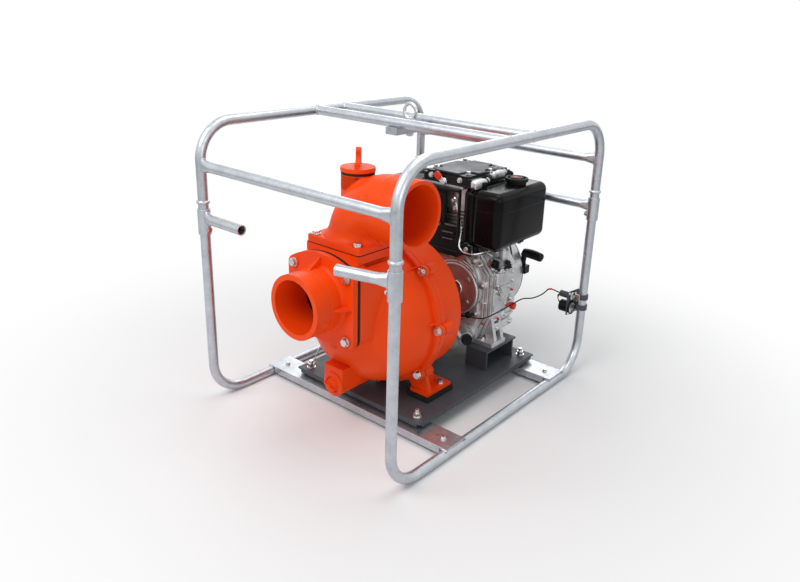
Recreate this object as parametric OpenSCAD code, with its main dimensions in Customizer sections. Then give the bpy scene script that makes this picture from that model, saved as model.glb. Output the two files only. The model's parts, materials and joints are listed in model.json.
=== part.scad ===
// Diesel water pump: a self-priming pump and a single-cylinder engine on a plate, in a tube roll frame.
// X runs across the frame, +Y from the suction port to the engine, Z up; the origin is on the ground
// under the middle of the frame.

/* [Roll Frame] */
// Outside diameter of the frame tube
tube_d = 26.9; // [25:0.1:30]
// Wall of the frame tube
tube_wall = 2.6; // [2:0.1:4]
// Outside diameter of the sockets that join the lower and upper hoops
sleeve_d = 33.7; // [33:0.1:38]
// Distance between the two hoops' centre lines
frame_w = 666; // [640:2:700]
// Length of each hoop between its uprights' centre lines
frame_l = 888; // [870:2:940]
// Height between the hoops' lower and upper centre lines
hoop_h = 770; // [760:2:820]
// Centre-line radius of the hoops' bends
bend_r = 97; // [80:1:110]
// Height of the upper crossbars
upper_bar_z = 677; // [660:1:690]
// Height of the lower rear crossbar and of the hand stubs
lower_bar_z = 537; // [530:1:548]
// Length of the left hand stub
left_stub_l = 156; // [120:1:180]
// Length of the right hand stub
right_stub_l = 143; // [120:1:180]
// Angle by which the right hand stub is bent forward
right_stub_turn = 14; // [0:1:20]
// Distance of the front top tube in front of the frame's middle
top_tube_front = 38.5; // [30:0.5:60]
// Distance of the rear top tube behind the frame's middle
top_tube_rear = 72.4; // [60:0.1:90]

/* [Base] */
// Width of each cross channel
channel_w = 77; // [60:1:90]
// Height of each cross channel
channel_h = 21; // [15:1:25]
// Thickness of the channel steel
channel_t = 4; // [3:0.5:5]
// Distance of the front channel in front of the frame's middle
channel_front = 201; // [190:1:215]
// Distance of the rear channel behind the frame's middle
channel_rear = 308; // [300:1:320]
// Width of the base plate
plate_w = 470; // [460:2:500]
// Height of the base plate's top
plate_top = 52; // [50:0.5:56]
// Thickness of the base plate
plate_t = 5; // [4:0.5:8]
// Distance between the rubber mounts across the frame
mount_span = 410; // [390:2:420]

/* [Pump] */
// Height of the shaft's axis
shaft_z = 280; // [278:0.5:282]
// Outside diameter of both ports
port_d = 168.3; // [160:0.1:169]
// Bore of the suction port
suction_bore = 140; // [120:1:142]
// Bore of the discharge port
discharge_bore = 150; // [130:1:152]
// Height of the suction port's axis
suction_z = 376.5; // [375:0.5:378]
// Outside radius of the pump casing
casing_r = 198; // [194:0.5:199]
// Wall of the pump casing
casing_wall = 8; // [6:0.5:9]
// Radius of the rim that joins the two casings
rim_r = 211; // [208:0.5:213]
// Radius on which the casing bolts sit
casing_bolt_r = 212; // [210:0.5:214]
// Centre-line radius of the discharge elbow
elbow_r = 109; // [108:1:116]
// Outside diameter of the filler neck
neck_d = 86; // [80:1:90]
// Radius of the impeller
impeller_r = 125; // [110:1:130]

/* [Engine] */
// Width of the bonnet on the cylinder head
bonnet_w = 170; // [160:1:180]
// Height of the bonnet's top
bonnet_top = 622; // [615:1:630]
// Radius of the fan housing
fan_house_r = 142; // [140:0.5:146]
// Width of the fuel tank
tank_w = 131; // [120:1:134]
// Length of the fuel tank
tank_l = 267; // [250:1:272]
// Height of the fuel tank
tank_h = 170; // [150:1:172]
// Bore of the cylinder
cylinder_bore = 86; // [80:0.5:90]

/* [Hidden] */
tube_r = tube_d / 2;
bore_r = tube_r - tube_wall;
sleeve_r = sleeve_d / 2;
post_x = frame_w / 2;
post_y = frame_l / 2;
top_z = tube_r + hoop_h;
weld_gap = 0.1;
// The sockets and where the upper hoop's tube ends inside them
sleeve_z0 = 494;
sleeve_z1 = 562;
hoop_split = 500;
lock_bolt_z = 509;
collar_z = 580.5;
sleeve_play = 0.15;
collar_bead = 5;
collar_r = tube_r - 1 + collar_bead;
// Pressed ends of the crossbars and stubs
flare_l = 40;
flare_h = 36;
flare_t = 16;
// The forward reach of the bent stub, which puts the origin under the middle of the whole
stub_reach = right_stub_l * sin(right_stub_turn) + tube_r * cos(right_stub_turn);
frame_y = (stub_reach - collar_r) / 2;
// Cross channels lie on the lower hoops' tubes
channel_top = tube_d + 0.2 + channel_t;
plate_y0 = -218;
plate_y1 = 345;
plate_lip = 14;
mount_y = [-193, 315];
mount_r = 20;
stud_r = 6;
pad_t = 15;
foot_z = plate_top + pad_t;
// Pump lengths along the shaft, from the suction face back
suction_face = -434;
cover_face = -346;
cover_back = -331;
casing_front = -321;
rim_front = -127;
rim_back = -113;
rear_front = -110;
rear_back = -9;
discharge_y = -212;
discharge_z = 499.5 + elbow_r;
discharge_x = 203.5;
deck_z = 497;
deck_half = 92.5;
elbow_base = 499.5;
elbow_plate_z = 518;
neck_top = 677.5;
cap_z = neck_top + 6.5;
port_r = port_d / 2;
// The suction neck is turned to the port's size over its first part, and as cast behind it
port_grip = 44;
cast_r = port_r + 0.85;
arch_half = 117;
arch_low = 262;
arch_crown = 496;
arch_r = 200;
flap_r = 73;
flap_pin_z = 457;
flap_pin_y = -315;
// Inner chamber behind the flap
chamber_half = 82;
chamber_back = -195;
chamber_top = 464;
drain_z = 115;
drain_face = -300;
bolt_r = 6;
// The dome is two arcs that meet smoothly
dome_y = rim_front;
dome_r1 = 170;
dome_c1 = casing_r - dome_r1;
dome_r2 = 214.2;
dome_c2 = -92.8;
dome_dir = atan2(dome_y - dome_c2, dome_c1);
// Shaft and running fits
shaft_r = 15;
seal_play = 0.05;
wear_y = -121;
wear_t = 8;
eye_r = 55;
duct_r = 64;
// Engine places along the shaft
cover_y = 165;
case_y0 = 200;
case_y1 = 325;
fan_y1 = 395;
recoil_y = 409;
ped_in = 115;
ped_out = 190;
ped_y0 = 147;
ped_y1 = 292;
ped_top = 112;
ped_t = 6;
bonnet_y0 = 155;
bonnet_y1 = 370;
bonnet_z0 = 592.5;
tank_x0 = 66;
tank_y0 = 148;
tank_z0 = 422;
tank_round = 16;
tank_wall = 4;
cap_x = 145;
cap_y = 310;
cover_bolts = [[140, 305], [122, 210], [106, 373], [-106, 373], [-140, 305], [-122, 210]];
flange_bolt_angles = [-20, 20, 70, 110, 160, 200, 250, 290];
bonnet_bolts = [[-72, 198], [-65, 337], [48, 334], [55, 191], [74, 274]];
// The engine's foot bolts: x, y, and the height left free above the foot
foot_t = 14;
engine_feet = [[154, 233, 40], [140, 192, 12]];
// Pipes from the cylinder through the sheet on the engine's left
exhaust_y = 205;
exhaust_z = 550;
intake_y = 296;
intake_z = 548;
side_pipe_r = 18;
case_top = 392;
lug_r = 15;
lug_l = 33;
head_clear = 0.3;
cowl_top = 583.5;
head_flange_z = 584;
shaft_end_r = 14;
pulley_r = 55;
// Instrument plate beside the right rear upright
plate_x = 309;
key_y = 410;
key_z = 253;
meter_y = 412;
meter_z = 215;
// Cable from the switch to the engine's pressure switch
cable_d = 3.8;
cable_route = [
    [274.7, 410, 253], [267, 409, 254], [258, 392, 264], [255, 370, 272], [250, 340, 262], [236, 310, 254],
    [214, 284, 252], [196, 256, 236], [184, 228, 222], [176, 196, 212], [166, 160, 208], [140, 149, 206],
    [112, 151, 206]
];
// Injection pipe from the pump under the tank to the injector
pipe_route = [
    [148, 262, 404.2], [148, 262, 407], [147.6, 255, 411], [147, 240, 412], [140, 190, 409],
    [120, 155, 403], [96, 144, 402], [78, 144, 407], [66, 149, 418], [62, 156, 436], [60, 163, 462],
    [52, 165, 493], [40, 166, 520], [24, 176, 545]
];
$fn = 96;

galvanised = [0.72, 0.74, 0.76];
orange = [0.93, 0.29, 0.09];
black = [0.06, 0.06, 0.07];
dark_grey = [0.2, 0.21, 0.22];
aluminium = [0.62, 0.63, 0.64];
steel = [0.75, 0.75, 0.74];
red = [0.85, 0.16, 0.1];

// Moves a piece from the hoops' middle to the shared frame
module at_frame() {
    translate([0, frame_y, 0]) children();
}

// Turns what is drawn along Z to lie along +Y on the shaft's axis, starting at y
module on_shaft(y) {
    translate([0, y, shaft_z]) rotate([-90, 0, 0]) children();
}

// A round bar along +Y from y0 to y1 through the point x, z
module rod_y(x, z, y0, y1, r) {
    translate([x, y0, z]) rotate([-90, 0, 0]) cylinder(r = r, h = y1 - y0);
}

// A round bar along +X from x0 to x1 through the point y, z
module rod_x(y, z, x0, x1, r) {
    translate([x0, y, z]) rotate([0, 90, 0]) cylinder(r = r, h = x1 - x0);
}

// A flat shape in X and Z, thick along +Y from y0 to y1
module slab_y(y0, y1) {
    translate([0, y1, 0]) rotate([90, 0, 0]) linear_extrude(y1 - y0) children();
}

// A block between two corners
module block(lo, hi) {
    translate(lo) cube(hi - lo);
}

// A ring along Z
module ring(outer, inner, h) {
    difference() {
        cylinder(r = outer, h = h);
        translate([0, 0, -1]) cylinder(r = inner, h = h + 2);
    }
}

// A hexagon bolt: its head stands above z = 0 and its shank hangs below
module hex_bolt(r, shank) {
    ring(r * 2, r - 0.5, 1.6);
    translate([0, 0, 1.6]) cylinder(r = r * 1.75, h = r * 1.3, $fn = 6);
    translate([0, 0, -shank]) cylinder(r = r, h = shank + 1.7);
}

// Two mirrored copies on either side of the middle
module both_sides() {
    for (side = [0, 1]) mirror([side, 0, 0]) children();
}

// A tube bent into a U: the straight run on z = 0, the legs rising to a height
module bent_run(r, leg) {
    rotate([-90, 0, 0]) translate([0, 0, bend_r - post_y]) cylinder(r = r, h = 2 * (post_y - bend_r));
    for (end = [0, 1]) mirror([0, end, 0]) {
        translate([0, post_y, bend_r]) cylinder(r = r, h = leg - bend_r);
        translate([0, post_y - bend_r, bend_r]) rotate([0, 90, 0])
            rotate_extrude(angle = 90) translate([bend_r, 0]) circle(r = r, $fn = 48);
    }
}

module lower_hoops() {
    color(galvanised) at_frame() both_sides() translate([post_x, 0, tube_r]) difference() {
        bent_run(tube_r, hoop_split - tube_r - 1);
        bent_run(bore_r, hoop_split - tube_r);
    }
}

module upper_hoops() {
    color(galvanised) at_frame() both_sides() translate([post_x, 0, top_z]) difference() {
        union() {
            mirror([0, 0, 1]) bent_run(tube_r, top_z - hoop_split);
            for (end = [-1, 1]) translate([0, end * post_y, collar_z - top_z])
                rotate_extrude() translate([tube_r - 1, 0]) circle(r = collar_bead, $fn = 32);
        }
        mirror([0, 0, 1]) bent_run(bore_r, top_z - hoop_split + 1);
        for (end = [-1, 1]) rod_x(end * post_y, lock_bolt_z - top_z, -tube_d, 0, 4.2);
    }
}

module coupling_sleeves() {
    color(galvanised) at_frame() both_sides() for (end = [-1, 1]) translate([post_x, end * post_y, 0])
        difference() {
            translate([0, 0, sleeve_z0]) ring(sleeve_r, tube_r + sleeve_play, sleeve_z1 - sleeve_z0);
            rod_x(0, lock_bolt_z, -sleeve_d, 0, 4.2);
        }
}

// Bolts that lock the sockets, and the bolts near the ends of the cross channels
module frame_bolts() {
    color(steel) at_frame() both_sides() {
        for (end = [-1, 1]) translate([post_x - sleeve_r - 0.4, end * post_y, lock_bolt_z])
            rotate([0, -90, 0]) hex_bolt(4, 5.5);
        for (y = [-channel_front, channel_rear]) translate([post_x - 32, y, channel_top]) {
            hex_bolt(4, 10);
            translate([0, 0, -channel_t - 5.5]) cylinder(r = 7, h = 5, $fn = 6);
        }
    }
}

// A crossbar from hoop to hoop whose ends are pressed flat and welded to posts of radius r
module flared_bar(r) {
    difference() {
        union() {
            rod_x(0, 0, flare_l - post_x, post_x - flare_l, tube_r);
            both_sides() flared_end(post_x);
        }
        rod_x(0, 0, flare_l - post_x, post_x - flare_l, bore_r);
        both_sides() translate([post_x, 0, -50]) cylinder(r = r + weld_gap, h = 100);
    }
}

// The pressed end of a tube that reaches the distance x
module flared_end(x) {
    hull() {
        rod_x(0, 0, x - flare_l - 1, x - flare_l, tube_r, $fn = 32);
        for (z = [-1, 1]) rod_x(0, z * (flare_h - flare_t) / 2, x - 12, x, flare_t / 2, $fn = 32);
    }
}

module crossbars() {
    color(galvanised) at_frame() {
        for (end = [-1, 1]) translate([0, end * post_y, upper_bar_z]) flared_bar(tube_r);
        translate([0, post_y, lower_bar_z]) flared_bar(sleeve_r);
    }
}

module top_tubes() {
    color(galvanised) at_frame() for (y = [-top_tube_front, top_tube_rear]) difference() {
        rod_x(y, top_z, -post_x, post_x, tube_r);
        rod_x(y, top_z, -post_x, post_x, bore_r);
        both_sides() rod_y(post_x, top_z, y - 40, y + 40, tube_r + weld_gap);
    }
}

// A short open tube that points from a socket, drawn along -X from the socket's axis
module stub(reach) {
    mirror([1, 0, 0]) difference() {
        union() {
            rod_x(0, 0, flare_l, reach, tube_r);
            translate([flare_l, 0, 0]) mirror([1, 0, 0]) flared_end(flare_l);
        }
        rod_x(0, 0, flare_l, reach + 1, bore_r);
        translate([0, 0, -50]) cylinder(r = sleeve_r + weld_gap, h = 100);
    }
}

module hand_stubs() {
    color(galvanised) at_frame() {
        translate([post_x, -post_y, lower_bar_z]) rotate([0, 0, right_stub_turn]) stub(right_stub_l);
        mirror([1, 0, 0]) translate([post_x, -post_y, lower_bar_z]) stub(left_stub_l);
    }
}

eye_x = -26;
eye_y = 17;
eye_z = 809;

// The bar under the two top tubes that takes the lifting eye
module lifting_bar() {
    color(galvanised) at_frame() difference() {
        block([eye_x - 19, -top_tube_front - 22, 754], [eye_x + 19, top_tube_rear + 22, 773]);
        for (y = [-top_tube_front, top_tube_rear]) rod_x(y, top_z, -80, 60, tube_r + weld_gap);
        translate([eye_x, eye_y, 700]) cylinder(r = 6.3, h = 100);
    }
}

module lifting_eye() {
    color(steel) at_frame() translate([eye_x, eye_y, 0]) {
        translate([0, 0, eye_z]) rotate([90, 0, 0])
            rotate_extrude() translate([20.5, 0]) circle(r = 4.5, $fn = 32);
        translate([0, 0, 742]) cylinder(r = 6, h = eye_z - 742 - 20);
        translate([0, 0, 773]) cylinder(r = 12, h = 7);
        translate([0, 0, 744]) cylinder(r = 11, h = 10, $fn = 6);
    }
}

module cross_channels() {
    color(galvanised) at_frame() for (y = [-channel_front, channel_rear]) difference() {
        block([-post_x - 8, y - channel_w / 2, channel_top - channel_h],
            [post_x + 8, y + channel_w / 2, channel_top]);
        block([-post_x - 9, y - channel_w / 2 + channel_t, 0],
            [post_x + 9, y + channel_w / 2 - channel_t, channel_top - channel_t]);
        both_sides()
            block([post_x - tube_r - 1, y - channel_w, 0], [post_x + 20, y + channel_w, tube_d + 0.1]);
        both_sides() translate([post_x - 32, y, 0]) cylinder(r = 4.2, h = 60);
        both_sides() for (m = mount_y) translate([mount_span / 2, m, 0]) cylinder(r = stud_r + 0.3, h = 60);
    }
}

module base_plate() {
    lip_z = plate_top - plate_lip;
    half = plate_w / 2;
    slit = 12;
    color(dark_grey) at_frame() difference() {
        union() {
            block([-half, plate_y0, plate_top - plate_t], [half, plate_y1, plate_top]);
            block([slit - half, plate_y0, lip_z], [half - slit, plate_y0 + plate_t, plate_top]);
            block([slit - half, plate_y1 - plate_t, lip_z], [half - slit, plate_y1, plate_top]);
            both_sides() block([half - plate_t, plate_y0 + slit, lip_z], [half, plate_y1 - slit, plate_top]);
            both_sides() for (m = mount_y) translate([mount_span / 2, m, plate_top - plate_t])
                cylinder(r = mount_r, h = plate_t);
        }
        both_sides() for (m = mount_y) translate([mount_span / 2, m, 0]) {
            cylinder(r = stud_r + 0.3, h = 99);
            cylinder(r = mount_r + 2, h = plate_top - plate_t);
        }
        both_sides() translate([161, -42, 0]) cylinder(r = stud_r + 0.3, h = 99);
    }
}

module rubber_mounts() {
    color(black) at_frame() both_sides() for (m = mount_y) translate([mount_span / 2, m, channel_top])
        ring(mount_r, stud_r + 0.3, plate_top - plate_t - channel_top);
}

module mount_studs() {
    color(steel) at_frame() both_sides() for (m = mount_y) translate([mount_span / 2, m, 0]) {
        translate([0, 0, channel_top - channel_t - 12])
            cylinder(r = stud_r, h = 86 - channel_top + channel_t);
        translate([0, 0, channel_top - channel_t - 8]) cylinder(r = 10.5, h = 8, $fn = 6);
        translate([0, 0, plate_top]) cylinder(r = 13, h = 2);
        translate([0, 0, plate_top + 2]) cylinder(r = 10.5, h = 10, $fn = 6);
    }
}

module pump_foot_pads() {
    color(black) at_frame() both_sides() difference() {
        block([112, -124, plate_top], [185, -10, foot_z]);
        translate([161, -42, 0]) cylinder(r = stud_r + 0.3, h = 99);
    }
}

// The bolts of the pump's feet and of the engine's feet
module foot_bolts() {
    color(steel) at_frame() both_sides() {
        translate([161, -42, foot_z + 10]) hex_bolt(stud_r, 38);
        translate([161, -42, plate_top - plate_t - 8]) cylinder(r = 10.5, h = 8, $fn = 6);
        for (p = engine_feet) translate([p[0], p[1], ped_top + foot_t]) {
            hex_bolt(5, 28);
            translate([0, 0, -foot_t - ped_t - 6]) cylinder(r = 8.7, h = 6, $fn = 6);
        }
    }
}

module engine_pedestals() {
    color(dark_grey) at_frame() both_sides() difference() {
        union() {
            block([ped_in, ped_y0, plate_top], [ped_out, ped_y1, ped_top]);
            block([ped_in, ped_y0, ped_top - ped_t], [ped_out, ped_y1 + 13, ped_top]);
        }
        block([ped_in + ped_t, ped_y0 + ped_t, plate_top - 1],
            [ped_out + 1, ped_y1 - ped_t, ped_top - ped_t]);
        for (p = engine_feet) translate([p[0], p[1], 90]) cylinder(r = 5.3, h = 40);
    }
}

// Outline of the suction flange: upright sides, rounded corners and an arched top
module arch(grow) {
    half = arch_half + grow;
    low = arch_low - grow;
    crown = arch_crown + grow;
    r = arch_r + grow;
    corner = 25;
    turn = 22;
    turn_z = crown - r + sqrt(pow(r - turn, 2) - pow(half - turn, 2));
    reach = (half - turn) * r / (r - turn);
    translate([-half, low + corner]) square([2 * half, turn_z - low - corner]);
    translate([corner - half, low]) square([2 * (half - corner), 2 * corner]);
    for (s = [-1, 1]) {
        translate([s * (half - corner), low + corner]) circle(r = corner);
        translate([s * (half - turn), turn_z]) circle(r = turn);
    }
    intersection() {
        translate([0, crown - r]) circle(r = r, $fn = 180);
        translate([-reach, low + corner]) square([2 * reach, crown - low]);
    }
}

// Half outline of the dome, set in by a wall: x is the radius and y lies along the shaft
module dome_half(wall) {
    intersection() {
        union() {
            translate([dome_c1, dome_y]) circle(r = dome_r1 - wall, $fn = 180);
            intersection() {
                translate([0, dome_c2]) circle(r = dome_r2 - wall, $fn = 180);
                polygon([[0, dome_c2], [400 * cos(dome_dir), dome_c2 + 400 * sin(dome_dir)], [0, -500]]);
            }
            translate([0, dome_c2]) square([casing_r - wall, rim_back - dome_c2 + 60]);
        }
        translate([0, -400]) square([400, 400 + rim_back]);
    }
}

// The dome as a solid of revolution about the shaft
module dome(wall) {
    on_shaft(0) rotate_extrude($fn = 180) dome_half(wall);
}

// Centres of the eight casing bolts
module at_casing_bolts(y, steps = [0:7]) {
    for (k = steps)
        translate([casing_bolt_r * cos(45 * k), y, shaft_z + casing_bolt_r * sin(45 * k)]) children();
}

module at_cover_bolts(y) {
    both_sides() for (z = [286, 452]) translate([93, y, z]) children();
}

module at_elbow_bolts(z) {
    both_sides() for (y = [-288, -136]) translate([74, y, z]) children();
}

// The space inside the front casing that leads from the flap down to the impeller's eye
module suction_space(wall) {
    block([-chamber_half - wall, casing_front + 8 - wall, 222 - wall],
        [chamber_half + wall, chamber_back + wall, chamber_top + wall]);
}

// Ears in the casing's mouth that carry the flap's pin
module flap_ears() {
    both_sides() difference() {
        block([30, -320, 448], [44, -308, chamber_top + 3]);
        rod_x(flap_pin_y, flap_pin_z, 20, 50, 4.06);
    }
}

module front_casing() {
    color(orange) at_frame() flap_ears();
    color(orange) at_frame() difference() {
        union() {
            dome(0);
            rod_y(0, shaft_z, rim_front, rim_back, rim_r, $fn = 180);
            at_casing_bolts(rim_front) rotate([-90, 0, 0])
                cylinder(r = lug_r, h = rim_back - rim_front, $fn = 48);
            slab_y(casing_front, -200) arch(0);
            block([-deck_half, -304, 475], [deck_half, -119, deck_z]);
            block([-84, -296, 380], [84, -127, 476]);
            rod_y(0, drain_z, drain_face, -185, 34);
            block([-34, drain_face, drain_z], [34, -185, drain_z + 52]);
        }
        difference() {
            union() {
                dome(casing_wall);
                translate([0, discharge_y, 400]) cylinder(r = discharge_bore / 2, h = 120);
                rod_y(0, drain_z, -290, -185, 22);
                block([-100, -286, 420], [100, -200, 474]);
            }
            suction_space(casing_wall);
            rod_y(0, shaft_z, chamber_back, wear_y - 0.2, duct_r);
        }
        intersection() {
            suction_space(0);
            union() {
                slab_y(-330, chamber_back + 1) arch(-14);
                dome(2 * casing_wall);
            }
        }
        block([-deck_half, -200, deck_z], [deck_half, -100, deck_z + 30]);
        rod_y(0, suction_z, casing_front - 1, -300, suction_bore / 2 + 6);
        block([-48, casing_front - 1, 430], [48, -300, chamber_top]);
        rod_y(0, shaft_z, chamber_back - 5, wear_y + 1, eye_r);
        rod_y(0, shaft_z, rim_back - 20, rim_back + 1, casing_r - casing_wall);
        rod_y(0, drain_z, drain_face - 1, -280, 12.4);
        at_casing_bolts(rim_front - 1) rotate([-90, 0, 0]) cylinder(r = bolt_r + 0.2, h = 20);
        at_cover_bolts(casing_front - 1) rotate([-90, 0, 0]) cylinder(r = bolt_r + 0.2, h = 17);
        at_elbow_bolts(deck_z - 17) cylinder(r = bolt_r + 0.2, h = 20);
    }
}

module rear_casing() {
    color(orange) at_frame() {
        difference() {
            union() {
                rod_y(0, shaft_z, -97, rear_back, casing_r, $fn = 180);
                rod_y(0, shaft_z, rear_front, -96, rim_r, $fn = 180);
                at_casing_bolts(rear_front) rotate([-90, 0, 0]) cylinder(r = lug_r, h = lug_l, $fn = 48);
                both_sides() pump_foot();
            }
            rod_y(0, shaft_z, rear_front - 1, rear_back - 10, casing_r - casing_wall, $fn = 180);
            rod_y(0, shaft_z, rear_back - 20, rear_back + 1, 31);
            at_casing_bolts(rear_front - 1) rotate([-90, 0, 0]) cylinder(r = bolt_r + 0.2, h = 27);
            at_casing_bolts(rear_front - 1, [2]) rotate([-90, 0, 0]) cylinder(r = bolt_r + 0.2, h = 50);
            for (k = [0:3]) rotate_about_shaft(45 + 90 * k) rod_y(88, shaft_z, -30, 0, 5.2);
            both_sides() translate([161, -42, foot_z - 1]) cylinder(r = stud_r + 0.3, h = 20);
        }
        volute_ring();
    }
}

module rotate_about_shaft(angle) {
    translate([0, 0, shaft_z]) rotate([0, angle, 0]) translate([0, 0, -shaft_z]) children();
}

// A foot of the pump: sole, upright front wall and gusset
module pump_foot() {
    block([117, -119, foot_z], [180, -15, foot_z + 10]);
    slab_y(-108, -96) polygon([[117, foot_z], [180, foot_z], [146, 165], [100, 165], [100, 100]]);
    translate([128, 0, 0]) rotate([90, 0, 90]) linear_extrude(10)
        polygon([[-100, foot_z + 5], [-28, foot_z + 5], [-70, 150], [-100, 150]]);
}

// The spiral wall round the impeller, open at the top into the casing
module volute_ring() {
    difference() {
        rod_y(6, shaft_z, wear_y + wear_t + 0.3, rear_back - 9.5, 152);
        rod_y(6, shaft_z, wear_y, rear_back, 144);
        block([-30, -140, shaft_z + 60], [62, 0, shaft_z + 170]);
    }
}

module casing_seal() {
    color(black) at_frame() difference() {
        on_shaft(rim_back) ring(rim_r - 1.5, casing_r - 6, rear_front - rim_back, $fn = 180);
        at_casing_bolts(rim_back - 1) rotate([-90, 0, 0]) cylinder(r = bolt_r + 0.2, h = 6);
    }
}

module pump_bolts() {
    color(steel) at_frame() {
        at_casing_bolts(rim_front, [0, 1, 3, 4, 5, 6, 7]) rotate([90, 0, 0]) hex_bolt(bolt_r, 41);
        at_casing_bolts(rear_front + lug_l, [2]) rotate([-90, 0, 0]) hex_bolt(bolt_r, 41);
        at_cover_bolts(cover_face - 2) rotate([90, 0, 0]) hex_bolt(bolt_r, 40);
        at_elbow_bolts(elbow_plate_z) hex_bolt(bolt_r, 34);
    }
}

// A triangular rib from the suction neck to its flange, drawn along +X
module cover_rib() {
    translate([0, 0, -3.5]) linear_extrude(7)
        polygon([[port_r - 2, cover_face + 2], [port_r - 2, cover_face - 42], [port_r + 28, cover_face + 2]]);
}

module suction_cover() {
    color(orange) at_frame() difference() {
        union() {
            slab_y(cover_face, cover_back) arch(0);
            rod_y(0, suction_z, suction_face, cover_back, port_r, $fn = 128);
            rod_y(0, suction_z, suction_face + port_grip, cover_back, cast_r, $fn = 128);
            translate([0, cover_face - 8, suction_z]) rotate([-90, 0, 0])
                cylinder(r1 = cast_r, r2 = cast_r + 6, h = 8, $fn = 128);
            for (angle = [0, 90, 180]) translate([0, 0, suction_z]) rotate([0, -angle, 0]) cover_rib();
            at_cover_bolts(cover_face - 2) rotate([-90, 0, 0]) cylinder(r = 15.5, h = 6);
        }
        rod_y(0, suction_z, suction_face - 1, cover_back + 1, suction_bore / 2, $fn = 128);
        at_cover_bolts(cover_face - 10) rotate([-90, 0, 0]) cylinder(r = bolt_r + 0.2, h = 40);
        at_cover_bolts(cover_face - 32) rotate([-90, 0, 0]) cylinder(r = 13.5, h = 30);
    }
}

module flap_seat_gasket() {
    color(black) at_frame() difference() {
        slab_y(cover_back, casing_front) arch(-1.5);
        rod_y(0, suction_z, cover_back - 1, casing_front + 1, suction_bore / 2);
        at_cover_bolts(cover_back - 1) rotate([-90, 0, 0]) cylinder(r = bolt_r + 0.2, h = 40);
    }
}

// The non-return flap, hung from a pin above the suction opening
module check_flap() {
    color(black) at_frame() {
        rod_y(0, suction_z, casing_front + 0.4, casing_front + 6, flap_r);
        rod_y(0, suction_z, casing_front + 6, casing_front + 9, 52);
        block([-12, casing_front + 0.4, suction_z + 60], [12, casing_front + 6, flap_pin_z]);
        rod_x(flap_pin_y, flap_pin_z, -40, 40, 4);
    }
}

module discharge_elbow() {
    bend = [elbow_r, discharge_y, elbow_base];
    color(orange) at_frame() difference() {
        union() {
            block([-deck_half, -304, elbow_base], [deck_half, -119, elbow_plate_z]);
            translate(bend) elbow_quarter(port_r);
            translate(bend) elbow_bend(port_r + 4, 118, 62);
            translate([0, discharge_y, elbow_plate_z]) cylinder(r1 = 92, r2 = port_r, h = 30);
            rod_x(discharge_y, discharge_z, elbow_r, discharge_x, port_r, $fn = 128);
            translate([0, discharge_y, 600]) cylinder(r = neck_d / 2, h = neck_top - 600);
        }
        translate(bend) elbow_quarter(discharge_bore / 2);
        translate([0, discharge_y, elbow_base - 1]) cylinder(r = discharge_bore / 2, h = 1.01);
        rod_x(discharge_y, discharge_z, elbow_r, discharge_x + 1, discharge_bore / 2, $fn = 128);
        translate([0, discharge_y, 600]) cylinder(r = neck_d / 2 - 7, h = neck_top - 599);
        translate([0, discharge_y, neck_top]) cylinder(r = neck_d / 2 + 2, h = 20);
        at_elbow_bolts(elbow_base - 1) cylinder(r = bolt_r + 0.2, h = 30);
        at_elbow_bolts(elbow_plate_z) cylinder(r = 13.5, h = 30);
    }
}

// A quarter of a round bend that rises from below and turns to +X
module elbow_quarter(r) {
    elbow_bend(r, 90, 90);
}

// A part of that bend, which turns from the flange at 180 degrees to the pipe at 90
module elbow_bend(r, start, turn) {
    rotate([90, 0, 0]) rotate([0, 0, start])
        rotate_extrude(angle = turn) translate([elbow_r, 0]) circle(r = r);
}

// The square gasket under the elbow and the ring under the filler cap
module discharge_gaskets() {
    color(black) at_frame() {
        difference() {
            block([-deck_half + 1, -303, deck_z], [deck_half - 1, -120, elbow_base]);
            translate([0, discharge_y, deck_z - 1]) cylinder(r = discharge_bore / 2, h = 9);
            at_elbow_bolts(deck_z - 1) cylinder(r = bolt_r + 0.2, h = 9);
        }
        translate([0, discharge_y, neck_top]) ring(neck_d / 2, neck_d / 2 - 7, cap_z - neck_top - head_clear);
    }
}

module filler_cap() {
    color(orange) at_frame() translate([0, discharge_y, cap_z]) {
        cylinder(r = 44, h = 10.5);
        translate([0, 0, -18]) ring(neck_d / 2 - 7.5, 28, 19);
        rotate([0, 0, -51]) translate([0, 6, 0]) rotate([90, 0, 0]) linear_extrude(12) cap_fin();
    }
}

// Outline of the cap's grip: a tall end with a round top and a low step
module cap_fin() {
    difference() {
        union() {
            translate([-36, 10]) square([52, 37]);
            translate([-36, 10]) square([72, 16]);
            translate([-10, 46]) circle(r = 12);
            translate([-36, 38]) square([26, 14]);
        }
        translate([16, 40]) circle(r = 16);
        translate([-46, 59]) circle(r = 16);
    }
}

module drain_plug() {
    color(orange) at_frame() {
        rod_y(0, drain_z, drain_face - 10, drain_face - head_clear, 21);
        rod_y(0, drain_z, drain_face - 1, drain_face + 18, 12);
        translate([0, drain_face - 10, drain_z]) rotate([0, 30, 0]) block([-23, -11, -4], [23, 0, 4]);
    }
}

module impeller() {
    color([0.4, 0.4, 0.42]) at_frame() difference() {
        union() {
            rod_y(0, shaft_z, -68, -61, impeller_r);
            rod_y(0, shaft_z, -107.5, -27, 26);
            for (k = [0:4]) rotate_about_shaft(72 * k) slab_y(-107, -67) vane();
        }
        rod_y(0, shaft_z, -120, 0, shaft_r);
    }
}

// A curved impeller vane from the hub to the rim
module vane() {
    translate([0, shaft_z]) intersection() {
        difference() {
            translate([0, 66]) circle(r = 66);
            translate([0, 66]) circle(r = 59);
        }
        difference() {
            circle(r = impeller_r - 2);
            circle(r = 24);
        }
        translate([2, -10]) square([200, 400]);
    }
}

module wear_plate() {
    color([0.45, 0.45, 0.46]) at_frame() difference() {
        rod_y(6, shaft_z, wear_y, wear_y + wear_t, 150);
        rod_y(0, shaft_z, wear_y - 1, wear_y + wear_t + 1, eye_r);
    }
}

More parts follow.
